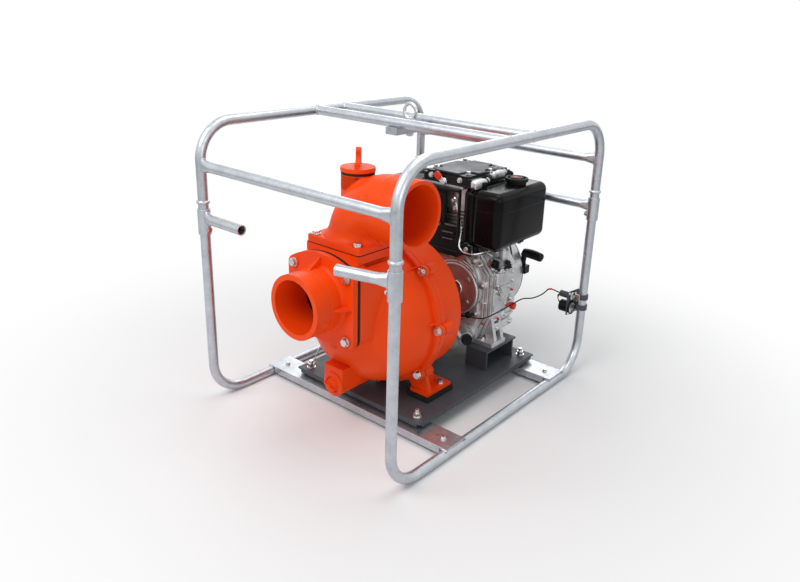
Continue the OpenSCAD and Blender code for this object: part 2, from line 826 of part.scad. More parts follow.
module mechanical_seal() {
    color([0.3, 0.3, 0.32]) at_frame() difference() {
        union() {
            rod_y(0, shaft_z, -25, rear_back - 10, 40);
            rod_y(0, shaft_z, rear_back - 11, rear_back, 30.9);
        }
        rod_y(0, shaft_z, -30, 0, shaft_r + seal_play);
    }
}

// The bell between the pump's back wall and the engine's drive end
module adapter_housing() {
    color([0.36, 0.2, 0.16]) at_frame() difference() {
        on_shaft(rear_back) rotate_extrude() polygon([
            [0, 0], [104, 0], [104, 12], [96, 14], [96, 85], [58, 155], [58, 169], [117, 169],
            [117, 179], [0, 179]
        ]);
        on_shaft(rear_back) rotate_extrude() polygon([
            [0, -1], [78, -1], [78, 14], [88, 24], [88, 82], [50, 152], [50, 181], [0, 181]
        ]);
        for (k = [0:3]) rotate_about_shaft(45 + 90 * k) rod_y(88, shaft_z, -20, 20, 5.2);
        for (k = flange_bolt_angles) rotate_about_shaft(-k) rod_y(103, shaft_z, 150, 180, 4.2);
    }
}

module crankshaft() {
    color(steel) at_frame() {
        rod_y(0, shaft_z, -112, 214, shaft_r);
        rod_y(0, shaft_z, 196, 232, 17.5);
        rod_y(0, shaft_z, -116, -108.2, 13, $fn = 6);
        for (y = [231, 275]) slab_y(y, y + 16) crank_web();
        rod_y(0, shaft_z + 36, 246, 276, 19);
        rod_y(0, shaft_z, 290, 336, 17.5);
        rod_y(0, shaft_z, 335, 384, shaft_end_r);
        rod_y(0, shaft_z, 383, 396, 10);
        rod_y(0, shaft_z, 384, 393, 17, $fn = 6);
    }
}

// A crank web: round at the journal and at the pin, heavy at the far side
module crank_web() {
    translate([0, shaft_z]) union() {
        circle(r = 30);
        translate([-25, 0]) square([50, 36]);
        translate([0, 36]) circle(r = 25);
        intersection() {
            circle(r = 62);
            translate([-62, -70]) square([124, 60]);
        }
    }
}

module main_bearings() {
    color(steel) at_frame() for (y = [178, 310.6]) difference() {
        rod_y(0, shaft_z, y, y + 13.8, 36);
        rod_y(0, shaft_z, y - 1, y + 15, y < 200 ? shaft_r + seal_play : 17.5 + seal_play);
    }
}

// Outline of the crankcase seen along the shaft
module case_outline(inset) {
    polygon([
        [-138 + inset, 126 + inset], [138 - inset, 126 + inset], [162 - inset, 196], [162 - inset, 336],
        [118 - inset, 392 - inset], [-118 + inset, 392 - inset], [-162 + inset, 336], [-162 + inset, 196]
    ]);
}

module crankcase() {
    color(aluminium) at_frame() difference() {
        union() {
            slab_y(case_y0, case_y1) case_outline(0);
            both_sides() {
                block([118, 178, ped_top], [186, 250, ped_top + foot_t]);
                for (y = [case_y0, 236]) slab_y(y, y + 14)
                    polygon([[130, ped_top + 5], [182, ped_top + 5], [162, 200], [130, 200]]);
            }
        }
        slab_y(case_y0 - 1, case_y1 - 14) case_outline(8);
        rod_y(0, shaft_z, 300, case_y1 + 1, 19);
        rod_y(0, shaft_z, 310.5, case_y1 - 0.5, 36.05);
        translate([0, 250, 380]) cylinder(r = cylinder_bore / 2 + 7.2, h = 20);
        both_sides() for (p = engine_feet) translate([p[0], p[1], 100]) cylinder(r = 5.3, h = 40);
        foot_bolt_rooms();
    }
}

// Room for the heads of the bolts above the engine's feet
module foot_bolt_rooms() {
    both_sides() for (p = engine_feet) translate([p[0], p[1], ped_top + foot_t]) cylinder(r = 11, h = p[2]);
}

// Outline of the cover over the drive end, with an ear at each bolt
module cover_outline(inset) {
    translate([0, shaft_z]) circle(r = 134 - inset);
    if (inset == 0) for (p = cover_bolts) translate(p) circle(r = 12, $fn = 32);
    translate([-128 + inset, 128 + inset]) square([256 - 2 * inset, 130]);
}

module crankcase_cover() {
    color(aluminium) at_frame() {
        difference() {
            union() {
                slab_y(170.2, case_y0 - 0.1) intersection() {
                    cover_outline(0);
                    translate([-200, 0]) square([400, case_top - 0.5]);
                }
                for (step = [0:2]) slab_y(178 + 7 * step, case_y0 - 0.1) case_outline(18.2 - 9 * step);
                rod_y(0, shaft_z, cover_y, 172, 127);
                rod_y(100, 148, 160, 190, 26);
                at_oil_tube() cylinder(r = 20, h = 52);
            }
            at_oil_tube() translate([0, 0, 30]) cylinder(r = 15, h = 30);
            rod_y(0, shaft_z, cover_y - 1, 170.2, 118);
            slab_y(177, case_y0) cover_outline(8);
            slab_y(187, case_y0) case_outline(28);
            foot_bolt_rooms();
            rod_y(0, shaft_z, 160, case_y0, 22);
            for (p = cover_bolts) rod_y(p[0], p[1], 160, 220, 4.2);
            for (k = flange_bolt_angles)
                rotate_about_shaft(-k) rod_y(103, shaft_z, 165, 176, 4.2);
        }
        difference() {
            rod_y(0, shaft_z, 176, 193, 42);
            rod_y(0, shaft_z, 170, 194, 22);
            rod_y(0, shaft_z, 177.9, 194, 36.05);
        }
    }
}

module engine_bolts() {
    color(steel) at_frame() {
        for (p = cover_bolts) translate([p[0], 170.2, p[1]]) rotate([90, 0, 0]) hex_bolt(4, 28);
        for (k = flange_bolt_angles)
            rotate_about_shaft(-k) translate([103, 160, shaft_z]) rotate([90, 0, 0]) hex_bolt(4, 14);
        for (x = [-52, 52]) translate([x, bonnet_y0, 610]) rotate([90, 0, 0]) hex_bolt(4, 6);
        for (p = bonnet_bolts) translate([p[0], p[1], bonnet_top]) hex_bolt(4, 10);
    }
}

module cylinder_fins() {
    for (k = [0:9]) translate([0, 0, 404 + 11 * k]) block([-66, 184, 0], [62, 316, 4]);
}

module cylinder_block() {
    color(aluminium) at_frame() difference() {
        union() {
            translate([0, 250, 376]) cylinder_round(cylinder_bore / 2 + 7, 150);
            translate([0, 250, 392.1]) cylinder_round(62, 8);
            intersection() {
                cylinder_fins();
                block([-66, 184, 392], [62, 316, 520]);
            }
            block([-70, 180, 514], [62, 320, head_flange_z + 1]);
            block([-83, 158.2, head_flange_z], [62, 368, bonnet_z0 - 0.1]);
        }
        translate([0, 250, 370]) cylinder_round(cylinder_bore / 2, 140);
        block([-58, 192, 526], [50, 308, 600]);
    }
}

module cylinder_round(r, h) {
    rotate_extrude() square([r, h]);
}

module bonnet() {
    half = bonnet_w / 2;
    color(black) at_frame() difference() {
        union() {
            block([-half, bonnet_y0 + 8, bonnet_z0], [half, bonnet_y1 - 8, bonnet_top - 6]);
            block([8 - half, bonnet_y0, bonnet_z0], [half - 8, bonnet_y1, bonnet_top - 6]);
            block([10 - half, bonnet_y0 + 8, bonnet_z0], [half - 10, bonnet_y1 - 8, bonnet_top]);
            for (s = [-1, 1]) for (y = [bonnet_y0 + 8, bonnet_y1 - 8])
                translate([s * (half - 8), y, bonnet_z0]) cylinder_round(8, bonnet_top - 6 - bonnet_z0);
        }
        block([8 - half, bonnet_y0 + 7, bonnet_z0 - 1], [half - 8, bonnet_y1 - 7, bonnet_top - 8]);
        for (s = [-1, 1]) rod_y(52 * s, 610, 150, 165, 4.2);
        for (p = bonnet_bolts) translate([p[0], p[1], 600]) cylinder(r = 4.2, h = 40);
        rod_y(-2, 599, 150, 170, 4.06);
    }
}

// Black sheet that leads the cooling air round the cylinder, with a window at the front
module air_cowl() {
    color(black) at_frame() {
        difference() {
            slab_y(154, 158) union() {
                translate([-85, 392.1]) square([143, cowl_top - 392.1]);
                translate([-85, 392.1]) square([189, tank_z0 - 0.3 - 392.1]);
            }
            block([10, 150, 476], [53, 160, 575]);
            for (z = [426, 444]) block([22, 150, z], [54, 160, z + 5]);
        }
        difference() {
            block([-85, 158, 392.1], [-81, 325, cowl_top]);
            rod_x(exhaust_y, exhaust_z, -90, -70, side_pipe_r + 1);
            rod_x(intake_y, intake_z, -90, -70, side_pipe_r + 1);
        }
        block([-85, 142, 474], [-4, 154, 566]);
        intersection() {
            translate([-4, 154, 474]) cylinder(r = 12, h = 92);
            block([-4, 140, 474], [20, 154, 566]);
        }
    }
}

module decompression_lever() {
    color(red) at_frame() translate([-2, 0, 599]) {
        rod_y(0, 0, 146, 170, 4);
        rod_y(0, 0, 147, bonnet_y0 - head_clear, 8);
        translate([0, 148, 0]) rotate([0, -143, 0]) {
            block([0, 0, -5], [24, 3, 5]);
            block([16, -7, -7], [36, 3, 7]);
        }
    }
}

module flywheel_fan() {
    color(aluminium) at_frame() {
        difference() {
            union() {
                rod_y(0, shaft_z, 338, 384, 32);
                rod_y(0, shaft_z, 340, 352, 118);
                for (k = [0:17]) rotate_about_shaft(20 * k)
                    block([84, 351, shaft_z - 1.5], [116, 384, shaft_z + 1.5]);
            }
            rod_y(0, shaft_z, 330, 390, shaft_end_r);
        }
    }
}

module fan_housing() {
    color(aluminium) at_frame() difference() {
        union() {
            rod_y(0, shaft_z, case_y1 + 0.1, fan_y1, fan_house_r, $fn = 180);
            block([-88, case_y1 + 0.1, 380], [62, fan_y1, cowl_top]);
        }
        rod_y(0, shaft_z, case_y1 + 6, fan_y1 + 1, fan_house_r - 6, $fn = 180);
        block([-83, case_y1 + 6, 360], [57, fan_y1 - 5, cowl_top - 5]);
        block([-60, case_y1 - 1, 404], [56, case_y1 + 7, 510]);
        rod_y(0, shaft_z, case_y1 - 1, case_y1 + 7, 20);
    }
}

module recoil_cover() {
    color(black) at_frame() {
        difference() {
            union() {
                rod_y(0, shaft_z, fan_y1, fan_y1 + 4, fan_house_r);
                rod_y(0, shaft_z, fan_y1, 426, 118);
                block([108, fan_y1, 286], [150, recoil_y + 12, 311]);
            }
            rod_y(0, shaft_z, fan_y1 - 1, 421, 112);
            translate([134, recoil_y, 295]) cylinder(r = 4, h = 20);
            rod_x(recoil_y, 299, 90, 134, 4);
            for (k = [0:11]) rotate_about_shaft(30 * k) block([62, 420, shaft_z - 5], [98, 430, shaft_z + 5]);
        }
        rod_y(0, shaft_z, 402, 422, 8);
    }
}

module recoil_pulley() {
    color(black) at_frame() difference() {
        rod_y(0, shaft_z, 404, 414, pulley_r);
        rod_y(0, shaft_z, 400, 420, 8 + seal_play);
        translate([0, recoil_y, shaft_z]) rotate([90, 0, 0])
            rotate_extrude() translate([pulley_r + 1, 0]) circle(r = 3.5, $fn = 24);
    }
}

// Starting handle: the grip, its stem and the first of the rope
module recoil_handle() {
    color(black) at_frame() {
        translate([134, recoil_y, 311.6]) {
            cylinder(r1 = 6, r2 = 9, h = 30);
            cylinder(r = 2, h = 10);
        }
        rod_x(recoil_y, 350, 129, 188, 13);
        translate([188, recoil_y, 350]) sphere(r = 13, $fn = 48);
    }
}

// Moulding between two corners with every edge rounded
module rounded_box(lo, hi, r) {
    ex = [r, 0, 0];
    ey = [0, r, 0];
    ez = [0, 0, r];
    block(lo + ey + ez, hi - ey - ez);
    block(lo + ex + ez, hi - ex - ez);
    block(lo + ex + ey, hi - ex - ey);
    for (x = [lo[0] + r, hi[0] - r]) for (y = [lo[1] + r, hi[1] - r]) {
        translate([x, y, lo[2] + r]) cylinder(r = r, h = hi[2] - lo[2] - 2 * r, $fn = 64);
        for (z = [lo[2] + r, hi[2] - r]) translate([x, y, z]) sphere(r = r, $fn = 64);
    }
    for (x = [lo[0] + r, hi[0] - r]) for (z = [lo[2] + r, hi[2] - r])
        rod_y(x, z, lo[1] + r, hi[1] - r, r, $fn = 64);
    for (y = [lo[1] + r, hi[1] - r]) for (z = [lo[2] + r, hi[2] - r])
        rod_x(y, z, lo[0] + r, hi[0] - r, r, $fn = 64);
}

module fuel_tank() {
    lo = [tank_x0, tank_y0, tank_z0];
    hi = lo + [tank_w, tank_l, tank_h];
    wall = [tank_wall, tank_wall, tank_wall];
    color(black) at_frame() {
        difference() {
            union() {
                rounded_box(lo, hi, tank_round);
                translate([cap_x, cap_y, hi[2] - 6]) cylinder(r = 26, h = 14);
            }
            rounded_box(lo + wall, hi - wall, tank_round - tank_wall);
            translate([cap_x, cap_y, hi[2] - 20]) cylinder(r = 21, h = 40);
        }
    }
    color(dark_grey) at_frame() for (y = [176, 300]) {
        block([84, y, tank_z0 - 5], [178, y + 24, tank_z0]);
        block([96, y, 392.1], [101, y + 24, tank_z0 - 5]);
    }
}

module tank_cap() {
    top = tank_z0 + tank_h;
    color(black) at_frame() translate([cap_x, cap_y, top + 1]) difference() {
        union() {
            cylinder(r = 29, h = 12);
            translate([0, 0, 8]) cylinder(r = 33, h = 10);
        }
        translate([0, 0, -1]) cylinder(r = 26.6, h = 14);
    }
}

module fuel_cock() {
    color(black) at_frame() {
        rod_x(199, 371, 157, 171, 13);
        block([171, 195, 362], [176, 203, 380]);
        rod_x(199, 371, 150, 158, 4);
    }
}

module injection_pump() {
    color(aluminium) at_frame() difference() {
        union() {
            block([124, 244, 345], [160, 280, 372]);
            translate([148, 262, 372]) cylinder(r = 12, h = 26);
            translate([148, 262, 398]) cylinder(r = 9, h = 6, $fn = 6);
        }
        slab_y(case_y0 - 1, case_y1 + 1) case_outline(-weld_gap);
    }
}

// Plate on the side of the crankcase that carries the speed and stop levers
module governor_plate() {
    color(aluminium) at_frame() difference() {
        union() {
            block([162, 206, 219], [167, 288, 294]);
            block([162, 196, 240], [167, 206, 294]);
            rod_x(240, 258, 167, 172, 13);
            rod_x(268, 228, 167, 171, 9);
        }
        rod_x(240, 258, 150, 180, 4.06);
        rod_x(268, 228, 150, 180, 4.06);
    }
}

module speed_lever() {
    color(steel) at_frame() {
        rod_x(240, 258, 158 + 4.5, 181, 4);
        rod_x(240, 258, 172 + head_clear, 175, 11);
        translate([172 + head_clear, 240, 258]) rotate([35, 0, 0]) {
            block([0, -7, 0], [2.7, 7, 52]);
            translate([-1, 0, 52]) rotate([0, 90, 0]) cylinder(r = 7, h = 6);
        }
    }
}

module stop_lever() {
    color(red) at_frame() {
        rod_x(268, 228, 162.5, 178, 4);
        rod_x(268, 228, 171 + head_clear, 174.3, 8);
        translate([171 + head_clear, 268, 228]) rotate([-115, 0, 0]) {
            block([0, -5, 0], [3, 5, 30]);
            block([0, -8, 22], [12, 8, 38]);
        }
    }
}

module at_oil_tube() {
    translate([88, 150, 148]) rotate([0, 90, -35]) children();
}

module oil_cap() {
    color(black) at_frame() at_oil_tube() {
        translate([0, 0, 53]) cylinder(r = 21, h = 13);
        translate([0, 0, 36]) cylinder(r = 14, h = 18);
        for (k = [0:11]) rotate([0, 0, 30 * k]) translate([20, -2, 53]) cube([3, 4, 13]);
    }
}

module muffler() {
    color(black) at_frame() {
        hull() for (x = [-191, -106]) for (y = [125, 221])
            translate([x, y, 456]) cylinder(r = 14, h = 128, $fn = 32);
        rod_x(exhaust_y, exhaust_z, -93, -70.1, side_pipe_r);
        rod_x(180, 500, -230, -204, 15);
    }
}

module air_cleaner() {
    color(black) at_frame() {
        rod_x(312, 520, -206, -96, 62);
        rod_x(312, 520, -212, -206, 50);
        rod_x(intake_y, intake_z, -97, -70.1, side_pipe_r);
    }
}

// Sheet plate with the switch and the meter, its clamp on the rear upright and the switch's barrel
module instrument_plate() {
    tube = [post_x, post_y];
    color(black) at_frame() difference() {
        union() {
            translate([plate_x, 0, 0]) rotate([90, 0, 90]) linear_extrude(3)
                polygon([[389, 196], [458, 191], [458, 264], [386, 271]]);
            for (z = [206, 240]) {
                block([plate_x + 3, post_y - 9, z], [post_x, post_y + 9, z + 16]);
                translate([tube[0], tube[1], z]) cylinder(r = 17, h = 16);
            }
        }
        translate([tube[0], tube[1], 150]) cylinder(r = tube_r + weld_gap, h = 150);
        rod_x(key_y, key_z, plate_x - 1, plate_x + 4, 10.2);
        rod_x(meter_y, meter_z, plate_x - 1, plate_x + 4, 18.3);
    }
    color(dark_grey) at_frame() difference() {
        union() {
            rod_x(key_y, key_z, plate_x - 34, plate_x + 5, 10);
            rod_x(key_y, key_z, plate_x + 3.1, plate_x + 6, 13);
        }
        rod_x(key_y, key_z, plate_x - 10, plate_x + 7, 4.06);
    }
}

// The key in its switch
module key_switch() {
    color(steel) at_frame() {
        rod_x(key_y, key_z, plate_x - 9, plate_x + 7, 4);
        block([plate_x + 6.5, key_y - 1.2, key_z - 4], [plate_x + 16, key_y + 1.2, key_z + 4]);
        block([plate_x + 15, key_y - 1.8, key_z - 10], [plate_x + 30, key_y + 1.8, key_z + 10]);
    }
}

module hour_meter() {
    color(black) at_frame() {
        rod_x(meter_y, meter_z, plate_x - 30, plate_x + 3.1, 18);
        rod_x(meter_y, meter_z, plate_x + 3.1, plate_x + 7, 21);
    }
}

// The steel pipe from the injection pump to the injector, and the body of the fuel cock
module fuel_pipes() {
    color(steel) at_frame() {
        cord(pipe_route, 3, 5);
        difference() {
            block([144, 190, 360], [156.5, 210, 382]);
            rod_x(199, 371, 140, 160, 4.06);
            slab_y(case_y0 - 20, case_y1) case_outline(-weld_gap);
        }
    }
}

// A cord swept as one solid along its points, which are rounded by a spline
function bend_at(p, t) = let(i = min(floor(t), len(p) - 2), f = t - i,
    a = p[max(i - 1, 0)], b = p[i], c = p[i + 1], d = p[min(i + 2, len(p) - 1)])
    0.5 * (2 * b + (c - a) * f + (2 * a - 5 * b + 4 * c - d) * f * f + (3 * b - a - 3 * c + d) * f * f * f);

function unit(v) = v / norm(v);

module cord(route, r, per_leg) {
    count = (len(route) - 1) * per_leg;
    path = [for (i = [0:count]) bend_at(route, i / per_leg)];
    sides = 8;
    rings = [for (i = [0:count]) let(
        along = unit(path[min(i + 1, count)] - path[max(i - 1, 0)]),
        side = unit(cross(along, [0, 0, 1])),
        up = cross(side, along))
        for (k = [0:sides - 1]) path[i] + r * (cos(360 * k / sides) * side + sin(360 * k / sides) * up)];
    skin = [for (i = [0:count - 1]) for (k = [0:sides - 1])
        [i * sides + k, i * sides + (k + 1) % sides, (i + 1) * sides + (k + 1) % sides, (i + 1) * sides + k]];
    ends = [[for (k = [sides - 1:-1:0]) k], [for (k = [0:sides - 1]) count * sides + k]];
    polyhedron(points = rings, faces = concat(skin, ends));
}

module wiring_cable() {
    color(black) at_frame() cord(cable_route, cable_d / 2, 5);
}

lower_hoops();
upper_hoops();
coupling_sleeves();
frame_bolts();
crossbars();
top_tubes();
hand_stubs();
lifting_bar();
lifting_eye();
cross_channels();
base_plate();
rubber_mounts();
mount_studs();
pump_foot_pads();
foot_bolts();
engine_pedestals();
front_casing();
rear_casing();
casing_seal();
pump_bolts();
suction_cover();
flap_seat_gasket();
check_flap();
discharge_elbow();
discharge_gaskets();
filler_cap();
drain_plug();
impeller();
wear_plate();
mechanical_seal();
adapter_housing();
crankshaft();
main_bearings();
crankcase();
crankcase_cover();
engine_bolts();
cylinder_block();
bonnet();
air_cowl();
decompression_lever();
flywheel_fan();
fan_housing();
recoil_cover();
recoil_pulley();
recoil_handle();
fuel_tank();
tank_cap();
fuel_cock();
injection_pump();
governor_plate();
speed_lever();
stop_lever();
oil_cap();
muffler();
air_cleaner();
instrument_plate();
key_switch();
hour_meter();
fuel_pipes();
wiring_cable();
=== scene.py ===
"""Looks of the diesel water pump in its roll frame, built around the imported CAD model."""

import json
from math import atan2, cos, hypot, pi, radians, sin, sqrt

import bmesh
import bpy
from mathutils import Matrix, Vector


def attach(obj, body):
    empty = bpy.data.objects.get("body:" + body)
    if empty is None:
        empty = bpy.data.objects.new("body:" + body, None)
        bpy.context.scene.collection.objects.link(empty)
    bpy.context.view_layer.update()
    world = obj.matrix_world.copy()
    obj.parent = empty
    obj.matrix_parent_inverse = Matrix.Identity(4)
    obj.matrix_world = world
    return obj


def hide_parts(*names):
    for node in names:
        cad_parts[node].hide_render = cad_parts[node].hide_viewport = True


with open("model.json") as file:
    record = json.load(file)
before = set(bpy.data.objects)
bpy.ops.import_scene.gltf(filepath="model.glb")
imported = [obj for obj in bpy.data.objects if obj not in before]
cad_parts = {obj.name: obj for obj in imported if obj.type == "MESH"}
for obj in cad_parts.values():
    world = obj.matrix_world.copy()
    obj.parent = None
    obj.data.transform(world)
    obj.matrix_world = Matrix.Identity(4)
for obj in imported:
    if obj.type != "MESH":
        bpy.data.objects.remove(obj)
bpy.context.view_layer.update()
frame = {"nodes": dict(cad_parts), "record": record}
NODES = frame["nodes"]

# Lengths are in millimetres along the source's own axes, but for the lamps, the floor and the
# materials, which are in metres. FRAME_Y is the step from the source's origin to the shared frame's.
FRAME_Y = 15.0977
SHAFT_Z = 280.0
# Directions of the object, whose front end, with the suction cover, points along -Y
RIGHT, LEFT, FRONT, BACK, UP, DOWN = (1, 0, 0), (-1, 0, 0), (0, -1, 0), (0, 1, 0), (0, 0, 1), (0, 0, -1)

# The solved camera: the photograph's size, its focal length and its principal point in pixels
PHOTO_W, PHOTO_H = 800.0, 582.0
FOCAL = 741.59
PRINCIPAL_X, PRINCIPAL_Y = 414.13, 267.65
CAMERA_PLACE = (1277.2, -1538.6, 1090.0)
CAMERA_TURN, CAMERA_TILT, CAMERA_ROLL = 39.257, 19.781, 1.985
SENSOR = 36.0

LAMPS_AIM = Vector((0.0, 0.0, 0.35))
WHITE = (1.0, 1.0, 1.0, 1.0)


def at(x, y, z):
    """A point of the part's source, in millimetres, as metres in the shared frame."""
    return Vector((x, y + FRAME_Y, z)) / 1000.0


# ---------------------------------------------------------------- camera, lamps and floor

def make_camera():
    """The photograph's camera, as solved from the frame's straight tubes."""
    turn, tilt, roll = (radians(a) for a in (CAMERA_TURN, CAMERA_TILT, CAMERA_ROLL))
    back = Vector((sin(turn) * cos(tilt), -cos(turn) * cos(tilt), sin(tilt)))
    right = Vector((cos(turn), sin(turn), 0.0))
    up = back.cross(right)
    side = right * cos(roll) + up * sin(roll)
    top = up * cos(roll) - right * sin(roll)
    data = bpy.data.cameras.new("camera")
    data.sensor_width = SENSOR
    data.lens = FOCAL * SENSOR / PHOTO_W
    data.shift_x = -(PRINCIPAL_X - PHOTO_W / 2) / PHOTO_W
    data.shift_y = -(PHOTO_H / 2 - PRINCIPAL_Y) / PHOTO_W
    data.clip_start = 0.05
    data.clip_end = 60.0
    camera = bpy.data.objects.new("camera", data)
    bpy.context.scene.collection.objects.link(camera)
    matrix = Matrix((side, top, back)).transposed().to_4x4()
    matrix.translation = at(*CAMERA_PLACE)
    camera.matrix_world = matrix
    bpy.context.scene.camera = camera


def make_lamp(name, place, size, power):
    """A rectangular lamp turned toward the middle of the object."""
    data = bpy.data.lights.new(name, "AREA")
    data.shape = "RECTANGLE"
    data.size, data.size_y = size
    data.energy = power
    lamp = bpy.data.objects.new(name, data)
    lamp.location = place
    aim = LAMPS_AIM - Vector(place)
    lamp.rotation_euler = aim.to_track_quat("-Z", "Y").to_euler()
    bpy.context.scene.collection.objects.link(lamp)


def new_nodes(owner):
    """Empties the node tree of a world or a material; returns what adds a node and what links two sockets."""
    owner.use_nodes = True
    tree = owner.node_tree
    tree.nodes.clear()

    def add(kind, inputs=None, **settings):
        node = tree.nodes.new(kind)
        for key, value in settings.items():
            setattr(node, key, value)
        for key, value in (inputs or {}).items():
            node.inputs[key].default_value = value
        return node

    return add, tree.links.new


def make_world():
    """A soft light all round, seen as plain white by the camera and in reflections."""
    world = bpy.data.worlds.new("studio")
    bpy.context.scene.world = world
    add, link = new_nodes(world)
    path = add("ShaderNodeLightPath")
    direct = add("ShaderNodeMath", operation="MAXIMUM")
    seen = add("ShaderNodeMath", operation="MAXIMUM")
    link(path.outputs["Is Camera Ray"], direct.inputs[0])
    link(path.outputs["Is Glossy Ray"], direct.inputs[1])
    link(direct.outputs[0], seen.inputs[0])
    link(path.outputs["Is Transmission Ray"], seen.inputs[1])
    soft = add("ShaderNodeBackground", {"Color": (0.95, 0.97, 1.0, 1.0), "Strength": 0.32})
    white = add("ShaderNodeBackground", {"Color": WHITE, "Strength": 1.0})
    mix = add("ShaderNodeMixShader")
    out = add("ShaderNodeOutputWorld")
    link(seen.outputs[0], mix.inputs[0])
    link(soft.outputs[0], mix.inputs[1])
    link(white.outputs[0], mix.inputs[2])
    link(mix.outputs[0], out.inputs["Surface"])


def make_floor():
    """A plain floor that fades to white away from the object."""
    mesh = bpy.data.meshes.new("floor")
    shape = bmesh.new()
    bmesh.ops.create_circle(shape, cap_ends=True, radius=14.0, segments=96)
    shape.to_mesh(mesh)
    shape.free()
    floor = bpy.data.objects.new("floor", mesh)
    bpy.context.scene.collection.objects.link(floor)
    stuff = bpy.data.materials.new("floor")
    add, link = new_nodes(stuff)
    coords = add("ShaderNodeTexCoord")
    reach = add("ShaderNodeVectorMath", operation="LENGTH")
    fade = add("ShaderNodeMapRange", {"From Min": 0.45, "From Max": 1.5}, interpolation_type="SMOOTHSTEP")
    path = add("ShaderNodeLightPath")
    both = add("ShaderNodeMath", operation="MULTIPLY")
    plain = add("ShaderNodeBsdfDiffuse", {"Color": (0.9, 0.9, 0.9, 1.0)})
    white = add("ShaderNodeEmission", {"Strength": 1.0})
    mix = add("ShaderNodeMixShader")
    out = add("ShaderNodeOutputMaterial")
    link(coords.outputs["Object"], reach.inputs[0])
    link(reach.outputs["Value"], fade.inputs["Value"])
    link(fade.outputs["Result"], both.inputs[0])
    link(path.outputs["Is Camera Ray"], both.inputs[1])
    link(both.outputs[0], mix.inputs[0])
    link(plain.outputs[0], mix.inputs[1])
    link(white.outputs[0], mix.inputs[2])
    link(mix.outputs[0], out.inputs["Surface"])
    mesh.materials.append(stuff)


make_camera()
make_world()
make_floor()
make_lamp("key", (-0.4, -2.4, 2.9), (2.4, 1.6), 62.0)
make_lamp("fill", (2.9, -1.2, 1.3), (1.6, 1.2), 11.0)
make_lamp("top", (0.2, 0.5, 3.0), (2.0, 2.0), 27.0)
make_lamp("rear", (-1.8, 2.4, 1.8), (2.0, 1.4), 18.0)
bpy.context.scene.view_settings.view_transform = "Standard"


# ---------------------------------------------------------------- materials

MATERIALS = {}


def finish(name, colour, second, rough=0.5, spread=0.1, metal=0.0, grain=400.0, bump=0.1, depth=0.0003,
           patch=14.0, edge=0.0015, wear=None, wear_amount=0.5, spangle=0.0, specular=0.5):
    """A procedural finish: two tones in patches, fine grain, uneven gloss and worn, rounded edges."""
    stuff = bpy.data.materials.new(name)
    add, link = new_nodes(stuff)
    coords = add("ShaderNodeTexCoord").outputs["Object"]

    def noise(scale, detail=2.0):
        node = add("ShaderNodeTexNoise", {"Scale": scale, "Detail": detail})
        link(coords, node.inputs["Vector"])
        return node.outputs["Fac"]

    def remap(value, low, high, to_low=0.0, to_high=1.0):
        node = add("ShaderNodeMapRange", {"From Min": low, "From Max": high,
                                          "To Min": to_low, "To Max": to_high})
        link(value, node.inputs["Value"])
        return node.outputs["Result"]

    tone = add("ShaderNodeMix", {6: (*colour, 1.0), 7: (*second, 1.0)}, data_type="RGBA")
    link(remap(noise(patch, 6.0), 0.3, 0.7), tone.inputs[0])
    shown = tone.outputs[2]
    if spangle:
        cells = add("ShaderNodeTexVoronoi", {"Scale": 150.0})
        link(coords, cells.inputs["Vector"])
        grey = add("ShaderNodeRGBToBW")
        link(cells.outputs["Color"], grey.inputs["Color"])
        shade = add("ShaderNodeMix", {0: spangle}, data_type="RGBA", blend_type="OVERLAY")
        link(shown, shade.inputs[6])
        link(grey.outputs["Val"], shade.inputs[7])
        shown = shade.outputs[2]
    rounded = add("ShaderNodeBevel", {"Radius": edge}, samples=4).outputs["Normal"]
    if wear:
        geometry = add("ShaderNodeNewGeometry")
        same = add("ShaderNodeVectorMath", operation="DOT_PRODUCT")
        link(geometry.outputs["Normal"], same.inputs[0])
        link(rounded, same.inputs[1])
        broken = add("ShaderNodeMath", operation="MULTIPLY")
        link(remap(same.outputs["Value"], 0.98, 0.8), broken.inputs[0])
        link(remap(noise(90.0), 0.42, 0.62, 0.0, wear_amount), broken.inputs[1])
        worn = add("ShaderNodeMix", {7: (*wear, 1.0)}, data_type="RGBA")
        link(broken.outputs[0], worn.inputs[0])
        link(shown, worn.inputs[6])
        shown = worn.outputs[2]
    gloss = remap(noise(patch * 2.7, 5.0), 0.3, 0.7, max(rough - spread, 0.05), min(rough + spread, 1.0))
    dents = add("ShaderNodeBump", {"Strength": bump, "Distance": depth})
    link(noise(grain, 3.0), dents.inputs["Height"])
    link(rounded, dents.inputs["Normal"])
    shader = add("ShaderNodeBsdfPrincipled", {"Metallic": metal, "Specular IOR Level": specular})
    link(shown, shader.inputs["Base Color"])
    link(gloss, shader.inputs["Roughness"])
    link(dents.outputs["Normal"], shader.inputs["Normal"])
    out = add("ShaderNodeOutputMaterial")
    link(shader.outputs[0], out.inputs["Surface"])
    MATERIALS[name] = stuff


